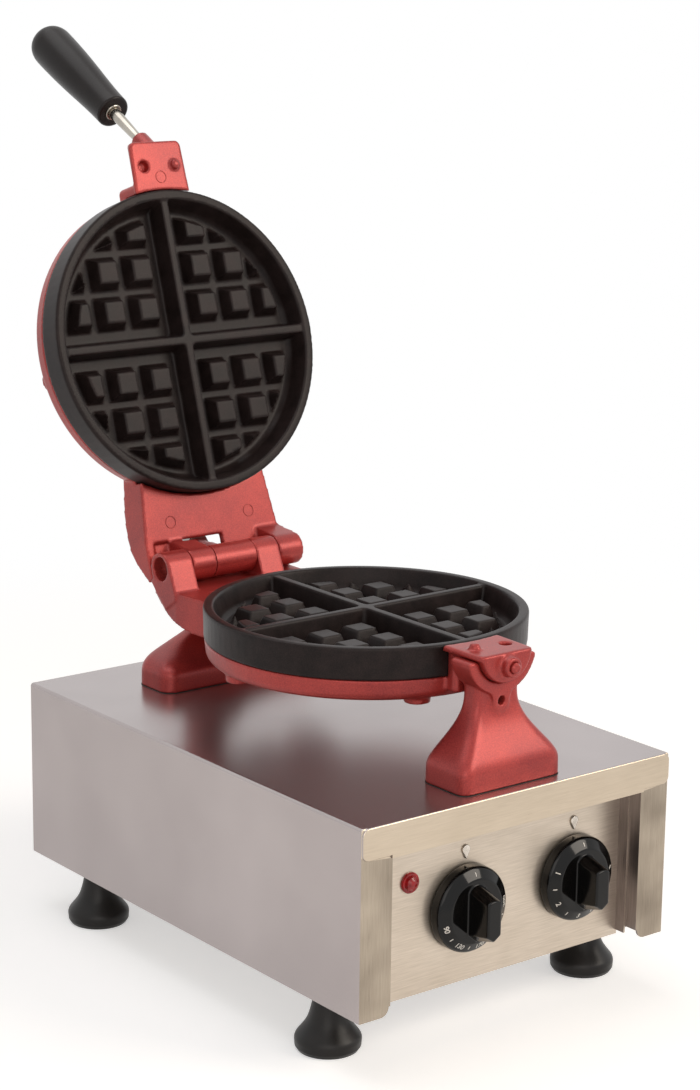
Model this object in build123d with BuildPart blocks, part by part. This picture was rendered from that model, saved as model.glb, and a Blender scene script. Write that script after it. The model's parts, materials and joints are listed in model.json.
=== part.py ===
from build123d import *
import os
from math import atan2, cos, degrees, pi, radians, sin

# A round waffle maker on a folded steel base. Two equal castings close over each other like a
# clam: the lower one lies in a saddle at the front and hangs from a clamped trunnion at the back,
# the upper one is the lid. The frame is in millimetres with +Z up: the controls face -Y, the
# origin is on the floor under the middle of the object as it stands with its lid open.

# Base casing
CASE_WIDTH = 250.0
CASE_DEPTH = 370.0
CASE_HEIGHT = 122.0
SHEET = 1.2
FRONT_Y = -268.5
FOOT_HEIGHT = 38.5
LIP_HEIGHT = 20.5
LIP_STEP = 1.5
FLANGE_WIDTH = 22.5
RETURN_DEPTH = 14.0
BEND_RADIUS = 2.0

CASE_BOTTOM = FOOT_HEIGHT
CASE_TOP = FOOT_HEIGHT + CASE_HEIGHT
BACK_Y = FRONT_Y + CASE_DEPTH
HALF_WIDTH = CASE_WIDTH / 2
INNER_HALF = HALF_WIDTH - SHEET
LIP_BOTTOM = CASE_TOP - LIP_HEIGHT

# Rear panel
GLAND_X = -78.0
GLAND_Z = CASE_BOTTOM + 34.0
GLAND_RADIUS = 8.0
GLAND_BORE = 4.5
REAR_PANEL_Y = BACK_Y - 2 * SHEET
REAR_SCREW_X = INNER_HALF - 7.0
REAR_SCREW_ZS = (CASE_BOTTOM + 26.0, CASE_BOTTOM + 96.0)

# Front panel and its controls
PANEL_RECESS = 19.0
PANEL_DROP = 1.5
PANEL_Y = FRONT_Y + PANEL_RECESS
PANEL_HALF = HALF_WIDTH - FLANGE_WIDTH - SHEET
PANEL_RETURN = 8.0
CONTROL_Z = CASE_BOTTOM + 47.5
MARK_Z = CASE_BOTTOM + 83.5
THERMOSTAT_X = -29.5
TIMER_X = 60.3
LAMP_X = -73.5
LAMP_Z = CASE_BOTTOM + 72.6
SHAFT_RADIUS = 3.0
KNOB_RADIUS = 28.0
KNOB_SKIRT = 7.5
KNOB_REACH = 28.0
KNOB_GAP = 1.0

# Waffle plates, measured from the parting plane inwards
PLATE_Y = FRONT_Y + 157.3
PARTING_Z = CASE_BOTTOM + 205.0
PARTING_GAP = 0.2
PLATE_RADIUS = 105.7
PLATE_HEIGHT = 21.0
RIM_INNER = 99.0
FLOOR_RADIUS = 95.5
FLOOR_DEPTH = 16.0
RIB_DEPTH = 1.2
RIB_TOP = 5.6
RIB_FOOT = 10.0
STUD_FIRST = 24.5
STUD_PITCH = 27.7
STUD_BASE = 22.0
STUD_TOP = 15.0
STUD_RISE = 10.4
STUD_RING = 88.6

# Castings that carry the plates
SHELL_RADIUS = 105.0
SHELL_BOTTOM = 35.0
SHELL_WALL = 4.0
SHELL_ROUND = 6.0
OPEN_ANGLE = 107.6
HINGE_REACH = 154.0
KNUCKLE_RADIUS = 11.3
HINGE_HALF = 57.0
KNUCKLE_SPLIT = 36.5
KNUCKLE_INNER = 17.0
KNUCKLE_GAP = 0.4
PIN_RADIUS = 8.0
PIN_HALF = 47.0
PIN_BORE = 5.0
COLLAR_RADIUS = 7.0
FIT = 0.05
ARM_FACE = 13.5
ARM_FACE_THICK = 5.0
ARM_WALL = 6.5
ARM_HALF_PLATE = 51.5
ARM_HALF_HINGE = 56.0
ARM_FACE_END = 136.0
WINDOW_LEFT = -26.5
WINDOW_RIGHT = 7.8
JOURNAL_RADIUS = 19.6
JOURNAL_END = 140.0
JOURNAL_BACK = 112.5
LUG_HALF = 22.3
LUG_TIP_HALF = 20.9
LUG_SLAB = 3.8
LUG_BLOCK_HALF = 18.2
LUG_DEPTH = 30.0
LUG_CORNER = 4.0
SEAT_GAP = 0.4
CHANNEL_FRONT = 108.0
LOCATOR_X = 12.3
LOCATOR_Y = 122.7
LOCATOR_RADIUS = 3.4
LOCATOR_HEIGHT = 5.0
BOSS_RADIUS = 6.6
FRONT_BOSS_DEPTH = 8.5
FRONT_BOSS_RADIUS = 6.5
INDEX_RADIUS = 3.4
POSTS = ((91.0, 14.0), (-91.0, 14.0), (27.0, -86.0), (-27.0, -86.0))
POST_RADIUS = 8.5
POST_HEIGHT = 4.5
POST_SCREW = 2.0
HEATER_RING = 70.0
HEATER_TUBE = 4.0
HEEL_ANGLE = 66.0
STOP_ANGLE = OPEN_ANGLE - HEEL_ANGLE + 1.0
KNUCKLES = ((KNUCKLE_SPLIT + KNUCKLE_GAP / 2, HINGE_HALF), (-KNUCKLE_SPLIT + KNUCKLE_GAP / 2, -KNUCKLE_INNER))

# Handle
ROD_TENON = 3.3
ROD_RADIUS = 4.4
FERRULE_RADIUS = 6.1
GRIP_START = 44.3
GRIP_LENGTH = 103.5
GRIP_SMALL = 12.2
GRIP_LARGE = 15.6

# Pedestals
SADDLE_GAP = 0.4
SADDLE_OUTER = 27.5
SADDLE_FRONT = FRONT_Y + 22.0
SADDLE_BACK = FRONT_Y + 41.0
FRONT_PED_HALF = 40.5
FRONT_PED_FRONT = FRONT_Y + 9.5
FRONT_PED_BACK = FRONT_Y + 50.0
REAR_PED_HALF = 65.5
REAR_PED_FRONT = FRONT_Y + 291.0
REAR_PED_BACK = FRONT_Y + 329.0
REAR_DECK_FRONT = FRONT_Y + 317.0
REAR_NECK_FRONT = FRONT_Y + 333.5
REAR_NECK_BACK = FRONT_Y + 348.5
PEDESTAL_SKIRT = 12.5
FRONT_NECK_HALF = 17.5
FRONT_NECK_FRONT = FRONT_Y + 25.5
FRONT_NECK_BACK = FRONT_Y + 40.5
REAR_NECK_HALF = 13.5
STEM_RADIUS = 6.5
SKIRT_TOP = CASE_TOP + PEDESTAL_SKIRT
HORN_TOP = PARTING_Z - 4.5
SET_HOLE_Z = PARTING_Z - 31.7
REAR_SADDLE_TOP = PARTING_Z + 1.5

SEAT_SCREW = 3.0
SEAT_SCREW_Y = FRONT_Y + 32.5
SEAT_HEAD_Z = PARTING_Z - JOURNAL_RADIUS - 14.0

FRONT_BOLT_X = 22.0
FRONT_BOLT_Y = FRONT_Y + 27.5
REAR_BOLT_X = 42.0
REAR_BOLT_Y = FRONT_Y + 308.0
FOOT_X = 106.0
FOOT_FRONT_Y = FRONT_Y + 55.5
FOOT_BACK_Y = FRONT_Y + 316.0
FOOT_RADIUS = 21.0

HINGE_Y = PLATE_Y + HINGE_REACH
TILT = radians(OPEN_ANGLE)

# Each casting has its own frame: its origin is the plate's centre in the parting plane, its y
# runs to the hinge and its z away from the waffle. The lower one hangs under the parting plane,
# the upper one is the same casting, turned over and swung open about the hinge.
LOWER_FRAME = Plane(origin=(0, PLATE_Y, PARTING_Z), x_dir=(-1, 0, 0), z_dir=(0, 0, -1))
UPPER_FRAME = Plane(
    origin=(0, HINGE_Y - HINGE_REACH * cos(TILT), PARTING_Z + HINGE_REACH * sin(TILT)),
    x_dir=(1, 0, 0),
    z_dir=(0, sin(TILT), cos(TILT)),
)


def seen_from_front(y):
    """The upright plane at y with x to the right and z up; a negative extrusion goes backwards."""
    return Plane.XZ.offset(-y)


def keep(part, name):
    part.label = name
    export_step(part, f"parts/{name}.step")


os.makedirs("parts", exist_ok=True)

# Cover: the top bends down into a lip that laps over the sides' folded front edges
FOLD_Y = FRONT_Y + SHEET
with BuildPart() as casing_cover:
    with BuildSketch(seen_from_front(FOLD_Y)):
        with Locations((0, CASE_BOTTOM)):
            Rectangle(CASE_WIDTH, CASE_HEIGHT, align=(Align.CENTER, Align.MIN))
            Rectangle(
                CASE_WIDTH - 2 * SHEET, CASE_HEIGHT - SHEET,
                align=(Align.CENTER, Align.MIN), mode=Mode.SUBTRACT,
            )
    extrude(amount=-(CASE_DEPTH - SHEET))
    with BuildSketch(seen_from_front(FRONT_Y)):
        with BuildLine():
            left = -HALF_WIDTH + 0.4
            Polyline(
                (left, CASE_TOP), (left, LIP_BOTTOM), (-HALF_WIDTH + FLANGE_WIDTH, LIP_BOTTOM),
                (-HALF_WIDTH + FLANGE_WIDTH, LIP_BOTTOM - LIP_STEP),
                (HALF_WIDTH - FLANGE_WIDTH, LIP_BOTTOM - LIP_STEP),
                (HALF_WIDTH - FLANGE_WIDTH, LIP_BOTTOM), (-left, LIP_BOTTOM), (-left, CASE_TOP),
                close=True,
            )
        make_face()
        lip_corners = [v for v in vertices() if v.Z < LIP_BOTTOM + 0.1 and abs(v.X) > INNER_HALF]
        fillet(lip_corners, 5.0)
        fillet([v for v in vertices() if v.Z > CASE_TOP - 0.1], BEND_RADIUS)
    extrude(amount=-SHEET)
    for side in (-1, 1):
        with BuildSketch(seen_from_front(FOLD_Y)):
            with Locations((side * (HALF_WIDTH - FLANGE_WIDTH / 2), CASE_BOTTOM)):
                Rectangle(FLANGE_WIDTH, CASE_HEIGHT - SHEET / 2, align=(Align.CENTER, Align.MIN))
            low = [v for v in vertices() if v.Z < CASE_BOTTOM + 0.1]
            fillet([v for v in low if abs(v.X) < INNER_HALF], 6.0)
        extrude(amount=-SHEET)
        with BuildSketch(seen_from_front(FOLD_Y)):
            with Locations((side * (HALF_WIDTH - FLANGE_WIDTH - SHEET / 2), CASE_BOTTOM + 6)):
                Rectangle(SHEET, CASE_HEIGHT - LIP_HEIGHT - 6, align=(Align.CENTER, Align.MIN))
        extrude(amount=-RETURN_DEPTH)
        with BuildSketch(seen_from_front(BACK_Y - SHEET)):
            with Locations((side * (INNER_HALF - 7), CASE_BOTTOM)):
                Rectangle(14, CASE_HEIGHT - SHEET, align=(Align.CENTER, Align.MIN))
        extrude(amount=-SHEET)
    with BuildSketch(seen_from_front(BACK_Y - SHEET)):
        with Locations((0, CASE_TOP - 7)):
            Rectangle(2 * INNER_HALF, 14)
    extrude(amount=-SHEET)
    long_bends = [
        e for e in casing_cover.edges().filter_by(Axis.Y)
        if abs(e.center().Z - CASE_TOP) < 0.01 and abs(e.center().X) > HALF_WIDTH - 0.01
    ]
    fillet(long_bends, BEND_RADIUS)
    lip_bend = [
        e for e in casing_cover.edges().filter_by(Axis.X)
        if abs(e.center().Z - CASE_TOP) < 0.01 and abs(e.center().Y - FRONT_Y) < 0.01
    ]
    fillet(lip_bend, 1.1)
    side_folds = [
        e for e in casing_cover.edges().filter_by(Axis.Z)
        if abs(e.center().Y - FOLD_Y) < 0.01 and abs(e.center().X) > HALF_WIDTH - 0.01
    ]
    fillet(side_folds, 1.1)
    with Locations(
        (-FRONT_BOLT_X, FRONT_BOLT_Y, CASE_TOP), (FRONT_BOLT_X, FRONT_BOLT_Y, CASE_TOP),
        (-REAR_BOLT_X, REAR_BOLT_Y, CASE_TOP), (REAR_BOLT_X, REAR_BOLT_Y, CASE_TOP),
    ):
        Hole(3.1, depth=3)
    with Locations((0, REAR_BOLT_Y, CASE_TOP), (0, SEAT_SCREW_Y, CASE_TOP)):
        Hole(9.0, depth=3)
    with Locations(*[(sx * REAR_SCREW_X, BACK_Y, z) for sx in (-1, 1) for z in REAR_SCREW_ZS]):
        Cylinder(1.7, 8, rotation=(90, 0, 0), mode=Mode.SUBTRACT)
keep(casing_cover.part, "casing_cover")

# Bottom tray with folded edges, slotted to let air in
TRAY_FRONT = PANEL_Y + SHEET
TRAY_BACK = BACK_Y - 2 * SHEET
TRAY_EDGE = 12.0
with BuildPart() as bottom_tray:
    with BuildSketch(seen_from_front(TRAY_FRONT)):
        with Locations((0, CASE_BOTTOM)):
            Rectangle(2 * INNER_HALF, TRAY_EDGE, align=(Align.CENTER, Align.MIN))
        with Locations((0, CASE_BOTTOM + SHEET)):
            Rectangle(
                2 * (INNER_HALF - SHEET), TRAY_EDGE,
                align=(Align.CENTER, Align.MIN), mode=Mode.SUBTRACT,
            )
    extrude(amount=-(TRAY_BACK - TRAY_FRONT))
    with BuildSketch(Plane.XY.offset(CASE_BOTTOM)):
        with Locations((0, (TRAY_FRONT + TRAY_BACK) / 2)):
            with GridLocations(0, 16, 1, 7):
                SlotOverall(90, 5)
    extrude(amount=SHEET, mode=Mode.SUBTRACT)
    with Locations(
        *[(sx * FOOT_X, y, CASE_BOTTOM + SHEET) for sx in (-1, 1) for y in (FOOT_FRONT_Y, FOOT_BACK_Y)]
    ):
        Hole(4.1, depth=3)
keep(bottom_tray.part, "bottom_tray")

# Rear panel inside the cover's rear folds, with air slots and the cord inlet's hole
with BuildPart() as rear_panel:
    with BuildSketch(seen_from_front(REAR_PANEL_Y)):
        with Locations((0, CASE_BOTTOM)):
            Rectangle(
                2 * INNER_HALF, CASE_HEIGHT - SHEET, align=(Align.CENTER, Align.MIN)
            )
        with Locations((20, CASE_BOTTOM + 66)):
            with GridLocations(24, 0, 6, 1):
                SlotOverall(56, 6, rotation=90, mode=Mode.SUBTRACT)
        with Locations((GLAND_X, GLAND_Z)):
            Circle(GLAND_RADIUS, mode=Mode.SUBTRACT)
        with Locations(*[(sx * REAR_SCREW_X, z) for sx in (-1, 1) for z in REAR_SCREW_ZS]):
            Circle(1.6, mode=Mode.SUBTRACT)
    extrude(amount=-SHEET)
keep(rear_panel.part, "rear_panel")

# Front panel, set back between the folds, its edges bent forwards onto them
PANEL_BOTTOM = CASE_BOTTOM - PANEL_DROP
PANEL_TOP = CASE_TOP - SHEET
with BuildPart() as front_panel:
    with BuildSketch(seen_from_front(PANEL_Y)):
        with Locations((0, PANEL_BOTTOM)):
            Rectangle(2 * PANEL_HALF, PANEL_TOP - PANEL_BOTTOM, align=(Align.CENTER, Align.MIN))
        with Locations((THERMOSTAT_X, CONTROL_Z), (TIMER_X, CONTROL_Z)):
            Circle(5.0, mode=Mode.SUBTRACT)
            with GridLocations(28, 0, 2, 1):
                Circle(2.1, mode=Mode.SUBTRACT)
        with Locations((LAMP_X, LAMP_Z)):
            Circle(6.0, mode=Mode.SUBTRACT)
    extrude(amount=-SHEET)
    for side in (-1, 1):
        with BuildSketch(seen_from_front(PANEL_Y)):
            with Locations((side * (PANEL_HALF - SHEET / 2), PANEL_BOTTOM + 3)):
                Rectangle(SHEET, PANEL_TOP - PANEL_BOTTOM - 3, align=(Align.CENTER, Align.MIN))
        extrude(amount=PANEL_RETURN)
    # Raised drops that point down at the knobs
    for x in (THERMOSTAT_X, TIMER_X):
        with BuildSketch(seen_from_front(PANEL_Y)):
            with Locations((x, MARK_Z + 1)):
                Circle(2.8)
            with BuildLine():
                Polyline((x - 2.6, MARK_Z), (x + 2.6, MARK_Z), (x, MARK_Z - 5), close=True)
            make_face()
        extrude(amount=0.9)
keep(front_panel.part, "front_panel")


def flare(step, steps, bias):
    """How much of a pedestal's spread is left at one step up its flare, from 1 down to 0."""
    return (1 + cos(pi * (step / steps) ** bias)) / 2


def footprint(half_width, front, back, radius):
    """Rounded rectangle of a pedestal's level section."""
    with Locations((0, (front + back) / 2)):
        RectangleRounded(2 * half_width, back - front, radius)


# Front pedestal: an upright skirt, an S-shaped flare, a neck and the saddle of the journals
FLARE_STEPS = 6
FRONT_FLARE_TOP = CASE_TOP + 55.0
FRONT_FLARE = FRONT_FLARE_TOP - SKIRT_TOP
with BuildPart() as front_pedestal:
    with BuildSketch(Plane.XY.offset(CASE_TOP)):
        footprint(FRONT_PED_HALF, FRONT_PED_FRONT, FRONT_PED_BACK, 7.0)
    extrude(amount=PEDESTAL_SKIRT)
    for step in range(FLARE_STEPS + 1):
        spread = flare(step, FLARE_STEPS, 0.74)
        with BuildSketch(Plane.XY.offset(SKIRT_TOP + FRONT_FLARE * step / FLARE_STEPS)):
            footprint(
                FRONT_NECK_HALF + spread * (FRONT_PED_HALF - FRONT_NECK_HALF),
                FRONT_NECK_FRONT + spread * (FRONT_PED_FRONT - FRONT_NECK_FRONT),
                FRONT_NECK_BACK + spread * (FRONT_PED_BACK - FRONT_NECK_BACK),
                4.5 + 2.5 * spread,
            )
    loft()
    with BuildSketch(Plane.XY.offset(FRONT_FLARE_TOP)):
        footprint(FRONT_NECK_HALF, FRONT_NECK_FRONT, FRONT_NECK_BACK, 4.5)
    extrude(amount=9)
    # The saddle stands out in front of the neck and runs down into the set screw's boss
    for depth, boss in ((SADDLE_BACK - SADDLE_FRONT, False), (FRONT_NECK_FRONT + 2 - SADDLE_FRONT, True)):
        with BuildSketch(seen_from_front(SADDLE_FRONT)):
            with Locations((0, PARTING_Z)):
                Circle(SADDLE_OUTER)
            with Locations((0, HORN_TOP)):
                Rectangle(
                    3 * SADDLE_OUTER, 2 * SADDLE_OUTER,
                    align=(Align.CENTER, Align.MIN), mode=Mode.SUBTRACT,
                )
            if boss:
                with Locations((0, SET_HOLE_Z)):
                    Circle(7.0)
                fillet([v for v in vertices() if v.Z < HORN_TOP - 10], 6.0)
        extrude(amount=-depth)
    with BuildSketch(seen_from_front(SADDLE_FRONT - 1)):
        with Locations((0, PARTING_Z)):
            Circle(JOURNAL_RADIUS + SADDLE_GAP)
    extrude(amount=-(SADDLE_BACK - SADDLE_FRONT + 2), mode=Mode.SUBTRACT)
    with BuildSketch(seen_from_front(SADDLE_FRONT)):
        with Locations((0, SET_HOLE_Z)):
            Circle(2.9)
    extrude(amount=-12, mode=Mode.SUBTRACT)
    with Locations(*[(sx * FRONT_BOLT_X, FRONT_BOLT_Y, CASE_TOP) for sx in (-1, 1)]):
        Cylinder(2.6, 11, align=(Align.CENTER, Align.CENTER, Align.MIN), mode=Mode.SUBTRACT)
    with Locations((0, SEAT_SCREW_Y, CASE_TOP)):
        Cylinder(
            5.0, SEAT_HEAD_Z - CASE_TOP, align=(Align.CENTER, Align.CENTER, Align.MIN),
            mode=Mode.SUBTRACT,
        )
        Cylinder(
            SEAT_SCREW + 0.3, 70, align=(Align.CENTER, Align.CENTER, Align.MIN), mode=Mode.SUBTRACT,
        )
    horn_edges = [
        e for e in front_pedestal.edges().filter_by(Axis.Y)
        if abs(e.center().Z - HORN_TOP) < 0.05
    ]
    fillet(horn_edges, 2.2)
keep(front_pedestal.part, "front_pedestal")

# Rear pedestal: a wide low dome under the hinge and a strut that leans back behind it
REAR_FLARE_TOP = CASE_TOP + 43.0
REAR_FLARE = REAR_FLARE_TOP - SKIRT_TOP
with BuildPart() as rear_pedestal:
    with BuildSketch(Plane.XY.offset(CASE_TOP)):
        footprint(REAR_PED_HALF, REAR_PED_FRONT, REAR_PED_BACK, 10.0)
    extrude(amount=PEDESTAL_SKIRT)
    for step in range(FLARE_STEPS + 1):
        spread = flare(step, FLARE_STEPS, 1.0)
        deck = spread ** 2.5
        with BuildSketch(Plane.XY.offset(SKIRT_TOP + REAR_FLARE * step / FLARE_STEPS)):
            footprint(
                REAR_NECK_HALF + spread * (REAR_PED_HALF - REAR_NECK_HALF),
                REAR_DECK_FRONT + deck * (REAR_PED_FRONT - REAR_DECK_FRONT),
                REAR_PED_BACK,
                4.0 + 6.0 * spread,
            )
    loft()
    with BuildSketch(Plane.YZ.offset(-REAR_NECK_HALF)):
        with BuildLine():
            Polyline(
                (REAR_PED_BACK - 26, SKIRT_TOP), (REAR_PED_BACK, SKIRT_TOP),
                (REAR_PED_BACK, SKIRT_TOP + 14), (REAR_NECK_BACK, REAR_FLARE_TOP + 4),
                (REAR_NECK_BACK, REAR_SADDLE_TOP), (REAR_NECK_FRONT, REAR_SADDLE_TOP),
                (REAR_NECK_FRONT, REAR_FLARE_TOP + 13), (REAR_DECK_FRONT - 6, REAR_FLARE_TOP - 8),
                close=True,
            )
        make_face()
    extrude(amount=2 * REAR_NECK_HALF)
    with BuildSketch(seen_from_front(REAR_NECK_FRONT - 2)):
        with Locations((0, PARTING_Z)):
            Circle(STEM_RADIUS + FIT)
            Rectangle(2 * (STEM_RADIUS + FIT), 20, align=(Align.CENTER, Align.MIN))
    extrude(amount=-(REAR_NECK_BACK - REAR_NECK_FRONT + 4), mode=Mode.SUBTRACT)
    with Locations(*[(sx * REAR_BOLT_X, REAR_BOLT_Y, CASE_TOP) for sx in (-1, 1)]):
        Cylinder(2.6, 10, align=(Align.CENTER, Align.CENTER, Align.MIN), mode=Mode.SUBTRACT)
keep(rear_pedestal.part, "rear_pedestal")

# Waffle plate: a tapered round cavity with a rib cross and four fields of square studs
with BuildPart() as waffle_plate:
    with BuildSketch(Plane.YZ) as section:
        with BuildLine():
            rim = Line((0, FLOOR_DEPTH), (FLOOR_RADIUS - 3, FLOOR_DEPTH))
            corner = Line(rim @ 1, (FLOOR_RADIUS, FLOOR_DEPTH - 3))
            wall = Line(corner @ 1, (RIM_INNER, PARTING_GAP + 0.6))
            lead = Line(wall @ 1, (RIM_INNER + 0.6, PARTING_GAP))
            face = Line(lead @ 1, (PLATE_RADIUS - 1.2, PARTING_GAP))
            edge = RadiusArc(face @ 1, (PLATE_RADIUS, PARTING_GAP + 1.2), -1.2)
            side = Line(edge @ 1, (PLATE_RADIUS - 0.5, PLATE_HEIGHT))
            back = Line(side @ 1, (0, PLATE_HEIGHT))
            Line(back @ 1, rim @ 0)
        make_face()
    revolve(axis=Axis.Z)
    # Studs rise from the floor and are cut off by the ring that runs round them
    with BuildPart(mode=Mode.PRIVATE) as studs:
        with BuildSketch(Plane.XY.offset(FLOOR_DEPTH)):
            for sx in (-1, 1):
                for sy in (-1, 1):
                    with Locations((sx * (STUD_FIRST + STUD_PITCH), sy * (STUD_FIRST + STUD_PITCH))):
                        with GridLocations(STUD_PITCH, STUD_PITCH, 3, 3):
                            Rectangle(STUD_BASE, STUD_BASE)
        draft = degrees(atan2((STUD_BASE - STUD_TOP) / 2, STUD_RISE))
        extrude(amount=-STUD_RISE, taper=draft)
        with BuildSketch(Plane.XY.offset(FLOOR_DEPTH)):
            Circle(STUD_RING)
        extrude(amount=-STUD_RISE, taper=draft, mode=Mode.INTERSECT)
    add(studs.part)
    # Two tapered ribs cross in the middle
    with BuildPart(mode=Mode.PRIVATE) as ribs:
        with BuildSketch(Plane.XY.offset(FLOOR_DEPTH)):
            Rectangle(RIB_FOOT, 2 * RIM_INNER + 4)
            Rectangle(2 * RIM_INNER + 4, RIB_FOOT)
        extrude(
            amount=-(FLOOR_DEPTH - RIB_DEPTH),
            taper=degrees(atan2((RIB_FOOT - RIB_TOP) / 2, FLOOR_DEPTH - RIB_DEPTH)),
        )
        inner_corners = [
            e for e in ribs.edges()
            if abs(abs(e.center().X) - abs(e.center().Y)) < 0.01 and abs(e.center().X) < RIB_FOOT
        ]
        fillet(inner_corners, 3.0)
        with BuildSketch(Plane.XY.offset(FLOOR_DEPTH)):
            Circle(FLOOR_RADIUS - 0.3)
        with BuildSketch(Plane.XY.offset(RIB_DEPTH)):
            Circle(RIM_INNER + 1)
        loft(mode=Mode.INTERSECT)
    add(ribs.part)
    with Locations(*[(x, y, PLATE_HEIGHT) for x, y in POSTS]):
        Cylinder(2.1, 3.2, align=(Align.CENTER, Align.CENTER, Align.MAX), mode=Mode.SUBTRACT)

# Casting: a shallow bowl under the plate, a lug with a half-round journal at its front, and two
# side walls with knuckles that reach back round the hinge
HEEL = radians(HEEL_ANGLE)
STOP = radians(STOP_ANGLE)
ARM_BACK = HINGE_REACH + 30.0
with BuildPart() as casting:
    with BuildSketch(Plane.YZ):
        with BuildLine():
            top_in = Line((0, PLATE_HEIGHT), (SHELL_RADIUS, PLATE_HEIGHT))
            outer = Line(top_in @ 1, (SHELL_RADIUS - 1.0, SHELL_BOTTOM - SHELL_ROUND))
            turn = RadiusArc(outer @ 1, (SHELL_RADIUS - 1.0 - SHELL_ROUND, SHELL_BOTTOM), -SHELL_ROUND)
            under = Line(turn @ 1, (0, SHELL_BOTTOM))
            Line(under @ 1, top_in @ 0)
        make_face()
    revolve(axis=Axis.Z)
    # Arm, drawn from the side and trimmed to its plan
    with BuildPart(mode=Mode.PRIVATE) as arm:
        with BuildSketch(Plane.YZ.offset(-HINGE_HALF)):
            with BuildLine():
                face = Line((80, ARM_FACE), (HINGE_REACH, ARM_FACE))
                saddle = RadiusArc(
                    face @ 1,
                    (HINGE_REACH + ARM_FACE * cos(HEEL), ARM_FACE * sin(HEEL)),
                    ARM_FACE, short_sagitta=True,
                )
                heel = Line(saddle @ 1, (HINGE_REACH + 19.7 * cos(HEEL), 19.7 * sin(HEEL)))
                belly = Spline(
                    heel @ 1, (148.0, 29.5), (130.0, 37.0), (112.0, 39.0), (96.0, 37.5), (80.0, 33.0),
                    tangents=[(-1, 0.75), (-1, -0.35)],
                )
                Line(belly @ 1, face @ 0)
            make_face()
        extrude(amount=2 * HINGE_HALF)
        with BuildSketch(Plane.XY):
            with BuildLine():
                Polyline(
                    (-ARM_HALF_PLATE, 80), (-ARM_HALF_PLATE, 96), (-ARM_HALF_HINGE, ARM_FACE_END),
                    (-ARM_HALF_HINGE, ARM_BACK), (ARM_HALF_HINGE, ARM_BACK),
                    (ARM_HALF_HINGE, ARM_FACE_END), (ARM_HALF_PLATE, 96), (ARM_HALF_PLATE, 80),
                    close=True,
                )
            make_face()
        extrude(amount=60, mode=Mode.INTERSECT)
        # The channel is open away from the waffle
        with Locations((0, CHANNEL_FRONT, ARM_FACE + ARM_FACE_THICK)):
            Box(
                2 * (ARM_HALF_HINGE - ARM_WALL), 100, 60,
                align=(Align.CENTER, Align.MIN, Align.MIN), mode=Mode.SUBTRACT,
            )
        # Sink marks of the ejector pins
        with BuildSketch(Plane.XY.offset(ARM_FACE)):
            with Locations((-33, 123), (33, 123)):
                Circle(4.4)
                Circle(3.8, mode=Mode.SUBTRACT)
        extrude(amount=0.3, mode=Mode.SUBTRACT)
    add(arm.part)
    for x0, x1 in KNUCKLES:
        with BuildSketch(Plane.YZ.offset(x0)):
            with Locations((HINGE_REACH, 0)):
                Circle(KNUCKLE_RADIUS)
            with BuildLine():
                Polyline(
                    (HINGE_REACH - 10.4, -4.4), (ARM_FACE_END, ARM_FACE),
                    (ARM_FACE_END, ARM_FACE + ARM_FACE_THICK), (148.0, 27.0),
                    (HINGE_REACH + 16 * cos(STOP), 16 * sin(STOP)), (HINGE_REACH, 0),
                    close=True,
                )
            make_face()
        extrude(amount=x1 - x0)
    # Lug and half-round journal
    with BuildSketch(Plane.XY.offset(PARTING_GAP)):
        with Locations((0, -JOURNAL_BACK)):
            Rectangle(2 * LUG_BLOCK_HALF, 22, align=(Align.CENTER, Align.MIN))
        fillet([v for v in vertices() if v.Y < -JOURNAL_BACK + 0.1], LUG_CORNER)
    extrude(amount=LUG_DEPTH)
    lug_foot = [
        e for e in casting.edges()
        if abs(e.center().Z - LUG_DEPTH - PARTING_GAP) < 0.01 and e.center().Y < -106
    ]
    fillet(lug_foot, 2.0)
    with BuildPart(mode=Mode.PRIVATE) as journal:
        with BuildSketch(Plane.XZ.offset(JOURNAL_BACK - 1)):
            Circle(JOURNAL_RADIUS)
            with Locations((0, PARTING_GAP)):
                Rectangle(
                    3 * JOURNAL_RADIUS, 2 * JOURNAL_RADIUS,
                    align=(Align.CENTER, Align.MAX), mode=Mode.SUBTRACT,
                )
        extrude(amount=JOURNAL_END - JOURNAL_BACK + 1)
        with BuildSketch(Plane.XY.offset(PARTING_GAP)):
            with Locations((0, -90)):
                Rectangle(2 * LUG_HALF, 60, align=(Align.CENTER, Align.MAX))
        extrude(amount=LUG_SLAB - PARTING_GAP)
        with BuildSketch(Plane.XY):
            with BuildLine():
                Polyline(
                    (-LUG_HALF, -80), (-LUG_HALF, -104), (-LUG_TIP_HALF, -JOURNAL_END),
                    (LUG_TIP_HALF, -JOURNAL_END), (LUG_HALF, -104), (LUG_HALF, -80), close=True,
                )
            make_face()
            fillet([v for v in vertices() if v.Y < -JOURNAL_END + 0.1], LUG_CORNER)
        extrude(amount=LUG_DEPTH, mode=Mode.INTERSECT)
    add(journal.part)
    front_rim = [
        e for e in casting.edges() if abs(e.center().Y + JOURNAL_END) < 0.01
    ]
    chamfer(front_rim, 0.8)
    # Locating pin and the hole for the other casting's pin
    with Locations((LOCATOR_X, -LOCATOR_Y, PARTING_GAP + 1)):
        Cylinder(LOCATOR_RADIUS, LOCATOR_HEIGHT, align=(Align.CENTER, Align.CENTER, Align.MAX))
    pin_tip = [e for e in casting.edges() if abs(e.center().Z - PARTING_GAP - 1 + LOCATOR_HEIGHT) < 0.01]
    chamfer(pin_tip, 1.2)
    with Locations((-LOCATOR_X, -LOCATOR_Y, 0)):
        Cylinder(
            LOCATOR_RADIUS + 0.6, LOCATOR_HEIGHT + 1,
            align=(Align.CENTER, Align.CENTER, Align.MIN), mode=Mode.SUBTRACT,
        )
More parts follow.
